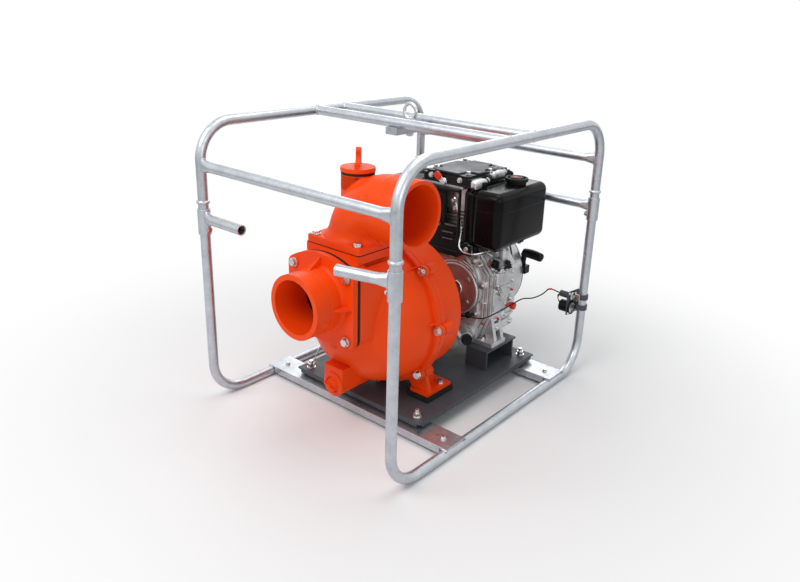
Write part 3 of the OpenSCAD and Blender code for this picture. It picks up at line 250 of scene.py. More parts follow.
finish("galvanised_steel", (0.58, 0.61, 0.65), (0.48, 0.51, 0.55), rough=0.34, spread=0.07, metal=0.88,
       grain=420.0, bump=0.12, patch=30.0, wear=(0.78, 0.79, 0.8), wear_amount=0.4, spangle=0.07)
finish("plated_steel", (0.70, 0.70, 0.69), (0.55, 0.55, 0.54), rough=0.28, spread=0.08, metal=1.0,
       grain=700.0, bump=0.12, patch=60.0, edge=0.0008)
finish("orange_paint", (0.97, 0.078, 0.004), (0.92, 0.068, 0.0035), rough=0.36, spread=0.07, grain=260.0,
       bump=0.16, patch=9.0, edge=0.003, wear=(0.95, 0.1, 0.012), specular=0.17)
finish("grey_paint", (0.082, 0.092, 0.105), (0.06, 0.068, 0.078), rough=0.45, spread=0.1, grain=420.0,
       bump=0.2, patch=12.0, wear=(0.14, 0.15, 0.16), specular=0.3)
finish("black_paint", (0.007, 0.007, 0.008), (0.012, 0.012, 0.013), rough=0.36, spread=0.08, grain=500.0,
       bump=0.14, patch=16.0, wear=(0.05, 0.05, 0.05), specular=0.16)
# A lighter, glossier black whose grey paints the highlights on the cowl's louvre lips and window lip
finish("highlight_black", (0.12, 0.122, 0.126), (0.07, 0.071, 0.074), rough=0.3, spread=0.06, metal=0.4,
       grain=500.0, bump=0.12, patch=16.0, edge=0.001, specular=0.4)
finish("black_plastic", (0.007, 0.007, 0.0075), (0.012, 0.012, 0.013), rough=0.42, spread=0.08, grain=900.0,
       bump=0.2, patch=20.0, specular=0.15)
finish("black_rubber", (0.012, 0.012, 0.012), (0.02, 0.0195, 0.019), rough=0.7, spread=0.1, grain=600.0,
       bump=0.3, patch=30.0, edge=0.001, specular=0.2)
finish("cast_aluminium", (0.74, 0.75, 0.76), (0.56, 0.57, 0.58), rough=0.36, spread=0.1, metal=0.72,
       grain=650.0, bump=0.45, depth=0.0004, patch=26.0, wear=(0.85, 0.85, 0.86), wear_amount=0.8)
finish("cast_iron", (0.16, 0.15, 0.145), (0.1, 0.085, 0.075), rough=0.62, spread=0.12, metal=0.7, grain=500.0,
       bump=0.6, depth=0.0005, patch=24.0, edge=0.002)
# Grey metal with a painted reflection: the reddish brown stands in for the orange casing reflected in it
finish("primer_paint", (0.4, 0.125, 0.1), (0.26, 0.08, 0.062), rough=0.62, spread=0.1, grain=380.0,
       bump=0.4, patch=22.0, edge=0.002, specular=0.3)
finish("red_plastic", (0.75, 0.035, 0.012), (0.62, 0.028, 0.01), rough=0.38, spread=0.08, grain=600.0,
       bump=0.2, patch=26.0, edge=0.001, specular=0.35)
finish("tank_black", (0.0035, 0.0033, 0.0035), (0.0055, 0.0052, 0.0055), rough=0.2, spread=0.05, grain=300.0,
       bump=0.08, patch=18.0, edge=0.002, specular=0.12)
finish("machined_aluminium", (0.82, 0.82, 0.83), (0.72, 0.72, 0.74), rough=0.28, spread=0.06, metal=1.0,
       grain=900.0, bump=0.12, patch=40.0, edge=0.0006)

for part in frame["record"]["subparts"]:
    # The seal between the casings is painted over with them
    look = "orange_paint" if part["node"] == "casing_seal" else part["material_slot"]
    surfaces = NODES[part["node"]].data.materials
    surfaces.clear()
    surfaces.append(MATERIALS[look])


# ---------------------------------------------------------------- mesh building, in the source's millimetres

def piece(name, shape, stuff, body="base", edge=0.0, angle=35.0, replaced=()):
    """Makes an object of a shape in millimetres, with rounded edges, and lets it ride on a body."""
    for vertex in shape.verts:
        vertex.co = at(*vertex.co)
    bmesh.ops.recalc_face_normals(shape, faces=shape.faces)
    mesh = bpy.data.meshes.new(name)
    shape.to_mesh(mesh)
    shape.free()
    for face in mesh.polygons:
        face.use_smooth = True
    mesh.set_sharp_from_angle(angle=radians(angle))
    mesh.materials.append(MATERIALS[stuff])
    obj = bpy.data.objects.new(name, mesh)
    bpy.context.scene.collection.objects.link(obj)
    if edge:
        bevel = obj.modifiers.new("edge", "BEVEL")
        bevel.width = edge / 1000.0
        bevel.segments = 3
        bevel.limit_method = "ANGLE"
        bevel.angle_limit = radians(angle)
        bevel.harden_normals = True
    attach(obj, body)
    if replaced:
        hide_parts(*replaced)
    return obj


def frame_of(direction):
    """Three axes: two across a direction, and the direction itself."""
    axis = Vector(direction).normalized()
    side = axis.cross(Vector((0.0, 0.0, 1.0)))
    if side.length < 1e-4:
        side = Vector((1.0, 0.0, 0.0))
    side.normalize()
    return side, axis.cross(side), axis


def all_round(count):
    """Cosine and sine of evenly spaced angles all the way round."""
    return [(cos(2 * pi * k / count), sin(2 * pi * k / count)) for k in range(count)]


def skin(shape, rings, closed=False):
    """Four-sided faces between rings of as many points each; closed joins the last ring to the first."""
    for a, b in zip(rings, rings[1:] + (rings[:1] if closed else [])):
        for k in range(len(a)):
            n = (k + 1) % len(a)
            shape.faces.new((a[k], b[k], b[n], a[n]))


def lathe(shape, origin, direction, profile, steps=40):
    """A profile of (radius, height) turned about an axis; a closed loop makes a ring."""
    side, up, axis = frame_of(direction)
    origin = Vector(origin)
    rings = []
    for radius, height in profile:
        middle = origin + axis * height
        if radius < 1e-6:
            rings.append([shape.verts.new(middle)])
        else:
            rings.append([shape.verts.new(middle + radius * (c * side + s * up))
                          for c, s in all_round(steps)])
    pairs = list(zip(rings, rings[1:]))
    if profile[0][0] > 1e-6 and profile[-1][0] > 1e-6:
        pairs.append((rings[-1], rings[0]))
    for a, b in pairs:
        for k in range(steps):
            n = (k + 1) % steps
            if len(a) == 1:
                shape.faces.new((a[0], b[k], b[n]))
            elif len(b) == 1:
                shape.faces.new((a[k], b[0], a[n]))
            else:
                shape.faces.new((a[k], b[k], b[n], a[n]))


def prism(shape, outline, origin, across, up, depth):
    """A flat outline given along two directions, made thick along their cross product."""
    origin, across, up = Vector(origin), Vector(across).normalized(), Vector(up).normalized()
    out = across.cross(up)
    low = [shape.verts.new(origin + across * x + up * y) for x, y in outline]
    high = [shape.verts.new(v.co + out * depth) for v in low]
    shape.faces.new(low)
    shape.faces.new(list(reversed(high)))
    skin(shape, [low, high])


def block(shape, lo, hi):
    """A block between two corners."""
    prism(shape, [(0, 0), (hi[0] - lo[0], 0), (hi[0] - lo[0], hi[1] - lo[1]), (0, hi[1] - lo[1])],
          lo, RIGHT, BACK, hi[2] - lo[2])


def spline(points, per_leg=6):
    """Points along a smooth curve through the given ones."""
    points = [Vector(p) for p in points]
    last = len(points) - 1
    out = []
    for i in range(last):
        a, b, c, d = points[max(i - 1, 0)], points[i], points[i + 1], points[min(i + 2, last)]
        for step in range(per_leg):
            f = step / per_leg
            out.append(0.5 * (2 * b + (c - a) * f + (2 * a - 5 * b + 4 * c - d) * f * f
                              + (3 * b - a - 3 * c + d) * f ** 3))
    out.append(points[-1])
    return out


def sweep(shape, path, radius, sides=12, closed=False):
    """A round bar along points; the radius may be a number or a function of the share of the way."""
    count = len(path)
    rings = []
    up = None
    for i, point in enumerate(path):
        if closed:
            along = path[(i + 1) % count] - path[i - 1]
        else:
            along = path[min(i + 1, count - 1)] - path[max(i - 1, 0)]
        along.normalize()
        if up is None:
            up = frame_of(along)[1]
        side = up.cross(along).normalized()
        up = along.cross(side).normalized()
        r = radius(i / max(count - 1, 1)) if callable(radius) else radius
        rings.append([shape.verts.new(point + r * (c * side + s * up)) for c, s in all_round(sides)])
    skin(shape, rings, closed)
    if not closed:
        shape.faces.new(rings[0])
        shape.faces.new(list(reversed(rings[-1])))


def rounded_block(shape, lo, hi, radius, segments=6):
    """A block with every edge rounded."""
    made = bmesh.new()
    block(made, lo, hi)
    bmesh.ops.recalc_face_normals(made, faces=made.faces)
    bmesh.ops.bevel(made, geom=list(made.edges), offset=radius, segments=segments, profile=0.5,
                    affect="EDGES", clamp_overlap=True)
    copied = bpy.data.meshes.new("part")
    made.to_mesh(copied)
    made.free()
    shape.from_mesh(copied)
    bpy.data.meshes.remove(copied)


WASHER = 1.4


def hex_head(shape, place, direction, radius=8.0, height=5.0, washer=True):
    """A bolt's head as it is made: a washer, six flats and a chamfered top."""
    side, up, axis = frame_of(direction)
    base = Vector(place)
    if washer:
        lathe(shape, place, direction, [(0, 0), (radius * 1.15, 0), (radius * 1.15, WASHER), (0, WASHER)], 28)
        base = base + axis * WASHER
    corners = [c * side + s * up for c, s in all_round(6)]
    low = [shape.verts.new(base + radius * c) for c in corners]
    high = [shape.verts.new(base + radius * c + axis * (height * 0.82)) for c in corners]
    cap = [shape.verts.new(base + radius * 0.86 * c + axis * height) for c in corners]
    skin(shape, [low, high, cap])
    shape.faces.new(cap)
    shape.faces.new(list(reversed(low)))


def off_x(degrees):
    """A direction in the plane across the shaft, by its angle from the object's right."""
    return Vector((cos(radians(degrees)), 0, sin(radians(degrees))))


def about_shaft(degrees, radius, y):
    """A point at a radius and angle about the shaft."""
    turn = radians(degrees)
    return Vector((radius * cos(turn), y, SHAFT_Z + radius * sin(turn)))


# ---------------------------------------------------------------- the cable from the switch to the engine

CABLE_ROUTE = [
    (274.7, 410, 253), (267, 409, 254), (258, 392, 264), (255, 370, 272), (250, 340, 262), (236, 310, 254),
    (214, 284, 252), (196, 256, 237), (184, 228, 226), (175, 196, 218), (164, 162, 212), (140, 150, 208),
    (112, 151, 206),
]
CABLE_R = 1.9


def make_cable():
    """The switch's cable, with the red tape round it."""
    path = spline(CABLE_ROUTE, 5)
    shape = bmesh.new()
    sweep(shape, path, CABLE_R)
    cable = piece("cable", shape, "black_rubber", replaced=("wiring_cable",), angle=60.0)
    tape = bmesh.new()
    sweep(tape, spline([(257.5, 377, 269.6), (255, 370, 271.6), (254, 364, 271.2)], 4), 2.6)
    tie = piece("cable_tape", tape, "red_plastic")


make_cable()


# ---------------------------------------------------------------- welds and small things on the roll frame

POST_X, POST_Y, TUBE_R, SLEEVE_R = 333.0, 444.0, 13.45, 16.85
CROSSBAR_Z, STUB_Z, TOP_Z = 677, 537, 783.45
TOP_TUBES_Y = (-38.5, 72.4)
# Half the width and half the height of the crossbars' and stubs' flattened ends
PRESSED = (8.4, 18.4)
STUB_TURN = radians(14)
STUB_WAY = (cos(STUB_TURN), sin(STUB_TURN), 0)
CHANNELS_Y, CHANNEL_HALF = (-201, 308), 38.5


def weld(shape, centre, outward, half_w, half_h, post_r, across):
    """A weld bead where a tube's end, half_w by half_h, meets a post of radius post_r."""
    centre, outward, across = Vector(centre), Vector(outward).normalized(), Vector(across).normalized()
    up = outward.cross(across)
    path = []
    for k in range(36):
        t = 2 * pi * k / 36
        w, h = half_w * cos(t), half_h * sin(t)
        back = sqrt(max(post_r ** 2 - w ** 2, 0.0))
        ripple = 0.5 * sin(9 * t) + 0.3 * sin(14 * t + 1)
        path.append(centre - outward * (back + 0.4 + 0.3 * ripple) + across * w + up * h)
    sweep(shape, path, 2.1, 8, closed=True)


def make_welds():
    """The beads at the posts, under the top tubes and along the cross channels."""
    shape = bmesh.new()
    for side in (-1, 1):
        for end in (-1, 1):
            weld(shape, (side * POST_X, end * POST_Y, CROSSBAR_Z), (side, 0, 0), *PRESSED, TUBE_R, BACK)
        weld(shape, (side * POST_X, POST_Y, STUB_Z), (side, 0, 0), *PRESSED, SLEEVE_R, BACK)
        for y in TOP_TUBES_Y:
            weld(shape, (side * POST_X, y, TOP_Z), (side, 0, 0), 13.6, 13.6, TUBE_R, UP)
    weld(shape, (-POST_X, -POST_Y, STUB_Z), LEFT, *PRESSED, SLEEVE_R, BACK)
    weld(shape, (POST_X, -POST_Y, STUB_Z), STUB_WAY, *PRESSED, SLEEVE_R, (-STUB_WAY[1], STUB_WAY[0], 0))
    for side in (-1, 1):
        for y in CHANNELS_Y:
            for edge in (-CHANNEL_HALF, CHANNEL_HALF):
                path = [Vector((side * (POST_X - 10 + 22 * k / 8), y + edge + 0.5 * sin(k * 2.1), 27.0))
                        for k in range(9)]
                sweep(shape, path, 2.4, 8)
    piece("weld_beads", shape, "galvanised_steel", angle=70.0)


def make_channel_rivets():
    """The small rivets on the front faces of the cross channels."""
    shape = bmesh.new()
    for y in CHANNELS_Y:
        for x in (-286, -262, 262, 286):
            lathe(shape, (x, y - 38.6, 19), FRONT, [(0, 0), (3.2, 0), (2.6, 1.2), (0, 1.7)], 16)
    piece("channel_rivets", shape, "plated_steel")


def make_tube_caps():
    """The rolled lips at the open ends of the two hand stubs."""
    shape = bmesh.new()
    x, y, _ = STUB_WAY
    ends = [((-POST_X + 156, -POST_Y, STUB_Z), RIGHT),
            ((POST_X - 143 * x, -POST_Y - 143 * y, STUB_Z), (-x, -y, 0))]
    for place, out in ends:
        lathe(shape, Vector(place) - Vector(out) * 2.0, out,
              [(10.85, 0), (13.3, 0), (13.5, 0.7), (13.1, 1.5), (12.0, 1.8), (10.85, 1.4)], 40)
    piece("stub_lips", shape, "galvanised_steel")


make_welds()
make_channel_rivets()
make_tube_caps()


# ---------------------------------------------------------------- the pump's castings

# The outlet stands over the shaft, the drain's boss at the foot of the front casing
PORT_Y = -212
DRAIN = (0, -300, 115)
# The outlet bend: the radius of its middle line, which is how far its arc's centre stands from the port,
# and the heights of its foot's under and upper side
BEND_R, FOOT_Z, FOOT_TOP = 109, 499.5, 518
PIPE_Z = FOOT_Z + BEND_R
BORE_R, NECK_R = 75.0, 43
ROUND = 72
NECK_ROUND = 64


def make_casing_details():
    """The casings' raised rings and ribs, and the round bosses on the front."""
    shape = bmesh.new()
    for y, radius, bead in ((-111.5, 210.4, 1.7), (-127.5, 208.2, 1.8)):
        sweep(shape, [about_shaft(3 * k, radius, y) for k in range(120)], bead, 10, closed=True)
    for k in range(8):
        angle = 45 * k + 5.0
        prism(shape, [(0, 0), (17, 0), (2, -30)], about_shaft(angle, 194, -126), off_x(angle), BACK, 3.4)
    piece("casing_ribs", shape, "orange_paint", edge=1.0)
    stamped = bmesh.new()
    lathe(stamped, DRAIN, FRONT, [(22.5, 0), (35, 0), (34.4, 2.6), (31, 4.8), (26, 5.2), (22.5, 4.4)], 56)
    for place, radius in (((0, -300, 232), 12), ((-70, -296, 250), 8)):
        lathe(stamped, place, FRONT, [(0, 0), (radius, 0), (radius - 1.5, 3), (0, 3.4)], 32)
    piece("casing_bosses", stamped, "orange_paint")


def bend_point(turn):
    """The middle of the outlet bend's section at an angle of its arc."""
    return Vector((BEND_R + BEND_R * cos(turn), PORT_Y, FOOT_Z + BEND_R * sin(turn)))


def ease(value, low, high):
    """A smooth step from 0 to 1."""
    share = min(max((value - low) / (high - low), 0.0), 1.0)
    return share * share * (3 - 2 * share)


def body_radius(turn):
    """The cast body of the outlet bend, which widens toward the pipe end."""
    return 77.0 + 5.5 * ease(-turn, -radians(124), -radians(92))


def make_elbow_body():
    """The outlet bend as cast: a body slimmer than the turned pipe end, with a flare into its foot."""
    shape = bmesh.new()
    rings = []

    def ring_at(middle, across, radius, flare=False):
        ring = []
        for c, s in all_round(ROUND):
            grown = radius
            for _ in range(4 if flare else 0):
                height = (middle + across * (grown * c)).z - FOOT_TOP
                grown = radius + 13.5 * max(1 - max(height, 0.0) / 30.0, 0.0) ** 2.4
            ring.append(shape.verts.new(middle + across * (grown * c) + Vector((0, grown * s, 0))))
        rings.append(ring)

    bends = [radians(180 - 90 * k / 44) for k in range(45)]
    for turn in bends:
        ring_at(bend_point(turn), Vector((cos(turn), 0, sin(turn))), body_radius(turn), True)
    for x, radius in ((114, 82.9), (117, 83.6), (118.4, 85.4), (150, 85.6), (201.4, 85.9), (203, 85.2),
                      (203.5, 84.0), (203.5, 77.0), (202.8, 75.6), (201.6, 75.2), (150, BORE_R),
                      (110, BORE_R)):
        ring_at(Vector((x, PORT_Y, PIPE_Z - 1.6 * ease(x, 110, 130))), Vector(UP), radius)
    for turn in reversed(bends):
        entered = ease(turn, radians(92), radians(112))
        narrow = 5.0 * entered * (1 - ease(turn, radians(160), radians(178)))
        ring_at(bend_point(turn), Vector((cos(turn), 0, sin(turn))), BORE_R - narrow)
    skin(shape, rings, closed=True)
    piece("elbow_body", shape, "orange_paint", replaced=("discharge_elbow",))


def make_elbow_foot():
    """The bend's square foot with rounded corners, a soft upper edge and the bore through it."""
    foot = bmesh.new()
    corner = [(84.5 + 8 * cos(radians(t)), 84.5 + 8 * sin(radians(t)))
              for t in range(0, 91, 15)]
    outline = [(x, y) for x, y in corner] + [(-x, y) for x, y in reversed(corner)]
    outline += [(-x, -y) for x, y in corner] + [(x, -y) for x, y in reversed(corner)]
    ledges = []
    for z, inset in ((FOOT_Z, 0.0), (515.5, 0.0), (517.2, 0.5), (FOOT_TOP, 1.8)):
        share = 1 - inset / 92.5
        ledges.append([foot.verts.new((x * share, PORT_Y + 0.5 + y * share, z)) for x, y in outline])
    for low, high in zip(ledges, ledges[1:]):
        for k in range(len(low)):
            n = (k + 1) % len(low)
            foot.faces.new((low[k], low[n], high[n], high[k]))
    bores = []
    for ledge, z in ((ledges[0], FOOT_Z), (ledges[-1], FOOT_TOP)):
        bore = [foot.verts.new((BORE_R * c, PORT_Y + BORE_R * s, z)) for c, s in all_round(ROUND)]
        edges = [foot.edges.new((bore[k], bore[(k + 1) % ROUND])) for k in range(ROUND)]
        edges += [foot.edges.get((ledge[k], ledge[(k + 1) % len(ledge)])) for k in range(len(ledge))]
        bmesh.ops.triangle_fill(foot, edges=edges, use_beauty=True)
        bores.append(bore)
    low, high = bores
    for k in range(ROUND):
        n = (k + 1) % ROUND
        foot.faces.new((low[k], low[n], high[n], high[k]))
    piece("elbow_foot", foot, "orange_paint")

    pads = bmesh.new()
    for x in (-74, 74):
        for y in (-288, -136):
            lathe(pads, (x, y, 516), UP, [(6.4, 0), (14.6, 0), (14.2, 1.6), (13.4, 2.0), (6.4, 2.0)], 40)
    lathe(pads, (0, PORT_Y, 640), UP,
          [(36, 0), (NECK_R, 0), (NECK_R, 36), (42.4, 37.2), (41.5, 37.5), (37, 37.5), (36, 37)], NECK_ROUND)
    piece("elbow_neck_top", pads, "orange_paint")


def bend_top(x, y):
    """The height at which an upright line leaves the bend's body, found by halving."""
    low, high = 540.0, 700.0
    for _ in range(26):
        z = (low + high) / 2
        turn = atan2(z - FOOT_Z, x - BEND_R)
        body = BEND_R + sqrt(max(body_radius(turn) ** 2 - y * y, 0.0))
        if hypot(BEND_R - x, z - FOOT_Z) < body:
            low = z
        else:
            high = z
    return low


def make_elbow_neck():
    """The filler neck, which widens where it runs into the bend's body."""
    neck = bmesh.new()
    rings = []
    for level in range(9):
        share = level / 8
        radius = NECK_R + 7.0 * (1 - share) ** 2.4
        ring = []
        for c, s in all_round(NECK_ROUND):
            x, y = radius * c, radius * s
            z = min(bend_top(x, y) - 1.5 * (1 - share) + 9.0 * share ** 1.6, 676.0)
            ring.append(neck.verts.new((x, PORT_Y + y, z)))
        rings.append(ring)
    rings.append([neck.verts.new((NECK_R * c, PORT_Y + NECK_R * s, 676.0)) for c, s in all_round(NECK_ROUND)])
    for a, b in zip(rings, rings[1:]):
        for k in range(NECK_ROUND):
            n = (k + 1) % NECK_ROUND
            if (a[k].co - b[k].co).length > 1e-6 or (a[n].co - b[n].co).length > 1e-6:
                neck.faces.new((a[k], a[n], b[n], b[k]))
    bmesh.ops.remove_doubles(neck, verts=neck.verts, dist=0.01)
    piece("elbow_neck", neck, "orange_paint", angle=50.0)


def make_drain_plug():
    """The cast drain plug with its finger bar."""
    shape = bmesh.new()
    x, y, z = DRAIN
    lathe(shape, (x, y - 0.2, z), FRONT,
          [(0, 0), (21, 0), (21, 2.4), (20, 3.6), (17.5, 3.6), (16.8, 5.2), (15.6, 9.4), (13.4, 10.6),
           (0, 10.6)], 56)
    across, up = off_x(-24), off_x(66)
    prism(shape, [(-21, 3), (-20, 9), (-15, 12), (-8, 12.5), (8, 12.5), (15, 12), (20, 9), (21, 3)],
          Vector((x, y - 10, z)) - up * 2.6, across, FRONT, -5.2)
    lathe(shape, (x, y - 10, z), FRONT, [(0, 0), (7.5, 0), (6.8, 11), (5, 13), (0, 13)], 28)
    piece("drain_plug_cast", shape, "orange_paint", body="drain", edge=1.0, replaced=("drain_plug",))


def make_filler_rim():
    """The rounded rim of the filler cap."""
    shape = bmesh.new()
    lathe(shape, (0, PORT_Y, 684), UP,
          [(42.5, -0.4), (44.6, 0.6), (44.9, 5), (44.2, 9.6), (42.5, 10.9)], 72)
    piece("filler_rim", shape, "orange_paint", body="filler_lid")


def make_earth_wire():
    """The bare wire from the front left pump foot, with a loop about its bolt."""
    shape = bmesh.new()
    route = [(-205, -180, 68), (-202, -179, 78), (-196, -178, 96), (-190, -172, 116), (-184, -160, 134),
             (-174, -140, 142), (-160, -128, 136)]
    sweep(shape, spline(route, 6), 1.6, 10)
    ring = [Vector((-205 + 9 * cos(radians(t)), -193 + 11 * sin(radians(t)), 67.5))
            for t in range(-250, 71, 10)]
    sweep(shape, ring, 1.6, 10)
    lathe(shape, (-160, -129.5, 136), BACK, [(0, -3), (5, -3), (5, 0), (0, 0)], 20)
    piece("earth_wire", shape, "plated_steel", angle=70.0)


make_casing_details()
make_elbow_body()
make_elbow_foot()
make_elbow_neck()
make_drain_plug()
make_filler_rim()
make_earth_wire()


# ---------------------------------------------------------------- the engine

def make_bonnet_details():
    """The bonnet's raised panel, its folded lip and its bolts."""
    shape = bmesh.new()
    outline = [(-50, 166), (36, 166), (38, 200), (48, 212), (76, 214), (76, 254), (60, 262), (58, 286),
               (76, 294), (76, 316), (38, 318), (30, 328), (28, 356), (-44, 356), (-48, 326), (-56, 318),
               (-76, 312), (-76, 222), (-56, 214), (-52, 204)]
    prism(shape, outline, (0, 0, 621.5), RIGHT, BACK, 5.0)
    piece("bonnet_panel", shape, "grey_paint", edge=2.0)
    lip = bmesh.new()
    rounded_block(lip, (-87, 153.6, 591.6), (87, 371.6, 596.6), 2.0, 3)
    piece("bonnet_lip", lip, "black_paint")
    bolts = bmesh.new()
    for x, y in ((-72, 198), (-65, 337), (48, 334), (55, 191), (74, 274)):
        hex_head(bolts, (x, y, 628.0), UP, 6.6, 3.4, washer=False)
    piece("bonnet_bolt_heads", bolts, "plated_steel")


def make_decompression():
    """The decompression lever: a plated arm with a red knob, on its hub."""
    x, z = -2, 599
    along, up = off_x(143), off_x(233)
    arm = bmesh.new()
    outline = [(-8, -6), (8, -8), (26, -5), (27, 5), (8, 8), (-8, 6)]
    prism(arm, outline, (x, 147.2, z), along, up, 3.0)
    lathe(arm, (x, 154.6, z), FRONT, [(0, 0), (10.5, 0), (10.5, 5.5), (8.5, 7), (0, 7)], 32)
    hex_head(arm, (x, 147.6, z), FRONT, 6.0, 4.5, washer=False)
    piece("decompression_arm", arm, "plated_steel", body="valve_lift", edge=0.5)
    knob = bmesh.new()
    outline = [(11, -5), (15, -9), (31, -10), (37, -6), (37, 6), (31, 10), (15, 9), (11, 5)]
    prism(knob, outline, (x, 150.5, z), along, up, 10.0)
    piece("decompression_knob", knob, "red_plastic", body="valve_lift", edge=2.2,
          replaced=("decompression_lever",))


# The tank cap's axis, and where the tank's two feet and the air cleaner stand
CAP_X, CAP_Y = 145, 310
TANK_FEET_Y = (176, 300)
CLEANER_Y, CLEANER_Z = 312, 520


def make_tank():
    """The tank's two rounded shells with their moulding seams, its feet, a clip and the ribbed cap."""
    shape = bmesh.new()
    rounded_block(shape, (66, 151, 424.5), (106, 412.5, 589), 19.0)
    rounded_block(shape, (99, 148, 422), (197, 415, 592), 24.0, 10)
    lathe(shape, (CAP_X, CAP_Y, 586), UP, [(21, 0), (26, 0), (26, 14), (21, 14)], 48)
    for y in TANK_FEET_Y:
        block(shape, (84, y, 417), (178, y + 24, 423))
        block(shape, (96, y, 392.1), (101, y + 24, 418))
    piece("tank", shape, "tank_black", replaced=("fuel_tank",))
    seam = bmesh.new()
    for corners, reach in ((((173, 391), (123, 391), (123, 172), (173, 172)), 23.6),
                           (((86, 392), (96, 392), (96, 172), (86, 172)), 19.8)):
        path = []
        for (cx, cy), start in zip(corners, (0, 90, 180, 270)):
            for k in range(9):
                t = radians(start + 11.25 * k)
                path.append(Vector((cx + reach * cos(t), cy + reach * sin(t), 536)))
        sweep(seam, path, 1.7, 8, closed=True)
    piece("tank_seams", seam, "tank_black")
    clip = bmesh.new()
    rounded_block(clip, (101, 190, 589), (112, 208, 607), 2.0, 2)
    rounded_block(clip, (92, 152, 584), (101, 170, 596), 2.0, 2)
    piece("tank_clip", clip, "black_plastic")
    cap = bmesh.new()
    for c, s in all_round(24):
        lathe(cap, (CAP_X + 31.8 * c, CAP_Y + 31.8 * s, 601), UP,
              [(0, 0), (2.6, 0), (2.6, 8.6), (1.6, 9.6), (0, 9.6)], 10)
    lathe(cap, (CAP_X, CAP_Y, 611), UP,
          [(0, 1.4), (18, 1.4), (20, 0), (28, 0), (30.5, -1), (33.6, -1.6), (33.6, -8), (0, -8)], 56)
    piece("cap_grips", cap, "black_plastic", body="tank_lid", edge=0.5)
    mark = bmesh.new()
    prism(mark, [(8 * c, 5.5 * s) for c, s in all_round(18)], (CAP_X, 306, 612.2), RIGHT, BACK, 0.9)
    piece("cap_mark", mark, "red_plastic", body="tank_lid", edge=0.3)


def make_top_fittings():
    """The castings between bonnet and tank, and the breather hose that joins them."""
    shape = bmesh.new()
    rounded_block(shape, (84, 158, 588), (106, 214, 614), 7.0, 4)
    for k in range(5):
        rounded_block(shape, (83, 166 + 9 * k, 590), (107, 169.5 + 9 * k, 615.5), 1.4, 2)
    lathe(shape, (94, 212, 602), BACK, [(0, 0), (10, 0), (10, 8), (7, 8), (7, 18), (0, 18)], 32)
    rounded_block(shape, (68, 272, 600), (92, 334, 621), 6.0, 4)
    lathe(shape, (80, 274, 610), FRONT, [(0, 0), (9, 0), (9, 9), (7, 9), (7, 16), (0, 16)], 32)
    lathe(shape, (80, 306, 618), UP, [(0, 0), (9, 0), (9, 3.4), (7, 5), (0, 5)], 32)
    piece("top_fittings", shape, "cast_aluminium", edge=0.8)
    hose = bmesh.new()
    sweep(hose, spline([(94, 222, 602), (93, 236, 605), (87, 250, 608), (82, 262, 610)], 8), 8.5, 16)
    sweep(hose, spline([(80, 330, 611), (80, 345, 612), (79, 366, 608), (77, 388, 600), (70, 398, 590)], 8),
          6.0, 14)
    piece("breather_hose", hose, "black_rubber", angle=60.0)
    clamp = bmesh.new()
    for place, out in (((93.5, 228, 603.5), (0, 1, 0.1)), ((84, 256, 609), (-0.4, 1, 0)),
                       ((80, 337, 611.6), (0, 1, 0.1))):
        lathe(clamp, place, out, [(8.7, 0), (9.6, 0), (9.6, 5), (8.7, 5)], 32)
    piece("hose_clamps", clamp, "plated_steel")


def make_cowl_details():
    """The air cowl's folded edges, the two louvres of its window and its bolts; the louvres' lips and the
    window's lower lip are a lighter black that paints their highlights.
    """
    shape = bmesh.new()
    rounded_block(shape, (-85, 143, 576), (58, 158, 583.6), 2.5, 3)
    rounded_block(shape, (52, 149, 424), (59, 156, 580), 2.0, 3)
    rounded_block(shape, (-85, 150.6, 379), (60, 157.4, 397), 2.6, 3)
    rounded_block(shape, (58, 150.6, 391.8), (105, 155, 397), 2.0, 3)
    piece("cowl_lips", shape, "black_paint", edge=0.6)
    # The window's lower lip and the louvres' lips are in a lighter black: painted highlights
    light = bmesh.new()
    rounded_block(light, (8, 149, 470), (56, 156, 475), 1.8, 3)
    for z in (429, 449):
        route = [(-1, 153.4, z - 1), (6, 150.6, z), (30, 150.2, z + 0.6), (38, 153.4, z - 1)]
        sweep(light, spline(route, 6), 2.3, 10)
    piece("louvre_lips", light, "highlight_black")
    bolts = bmesh.new()
    for x, z in ((-17, 469), (-60, 410), (88, 410), (-60, 470)):
        hex_head(bolts, (x, 154, z), FRONT, 6.5, 4.5)
    hex_head(bolts, (26, 176, 520), FRONT, 8, 6)
    lathe(bolts, (24, 182, 546), (0, -1, -0.1), [(0, 0), (9, 0), (9, 12), (6, 14), (6, 20), (0, 20)], 24)
    piece("cowl_bolts", bolts, "plated_steel")


# The middle of the end plate's rings, a little off the shaft
PLATE_X, PLATE_Z = 51.0, 277.0
PLATE_STEPS = 144


def plate_ring(radius, y):
    """Points round the middle of the end plate."""
    return [Vector((PLATE_X + radius * c, y, PLATE_Z + radius * s)) for c, s in all_round(PLATE_STEPS)]


def off_shaft(point):
    """How far a point is from the shaft."""
    return hypot(point.x, point.z - SHAFT_Z)


def part_skin(shape, profile, kept):
    """Rings of (radius, y) round the end plate's middle, with faces only where their middle is kept."""
    rings = [[shape.verts.new(p) for p in plate_ring(radius, y)] for radius, y in profile]
    for a, b in zip(rings, rings[1:]):
        for k in range(PLATE_STEPS):
            n = (k + 1) % PLATE_STEPS
            if kept((a[k].co + b[n].co) / 2):
                shape.faces.new((a[k], a[n], b[n], b[k]))
    for vertex in [v for v in shape.verts if not v.link_faces]:
        shape.verts.remove(vertex)


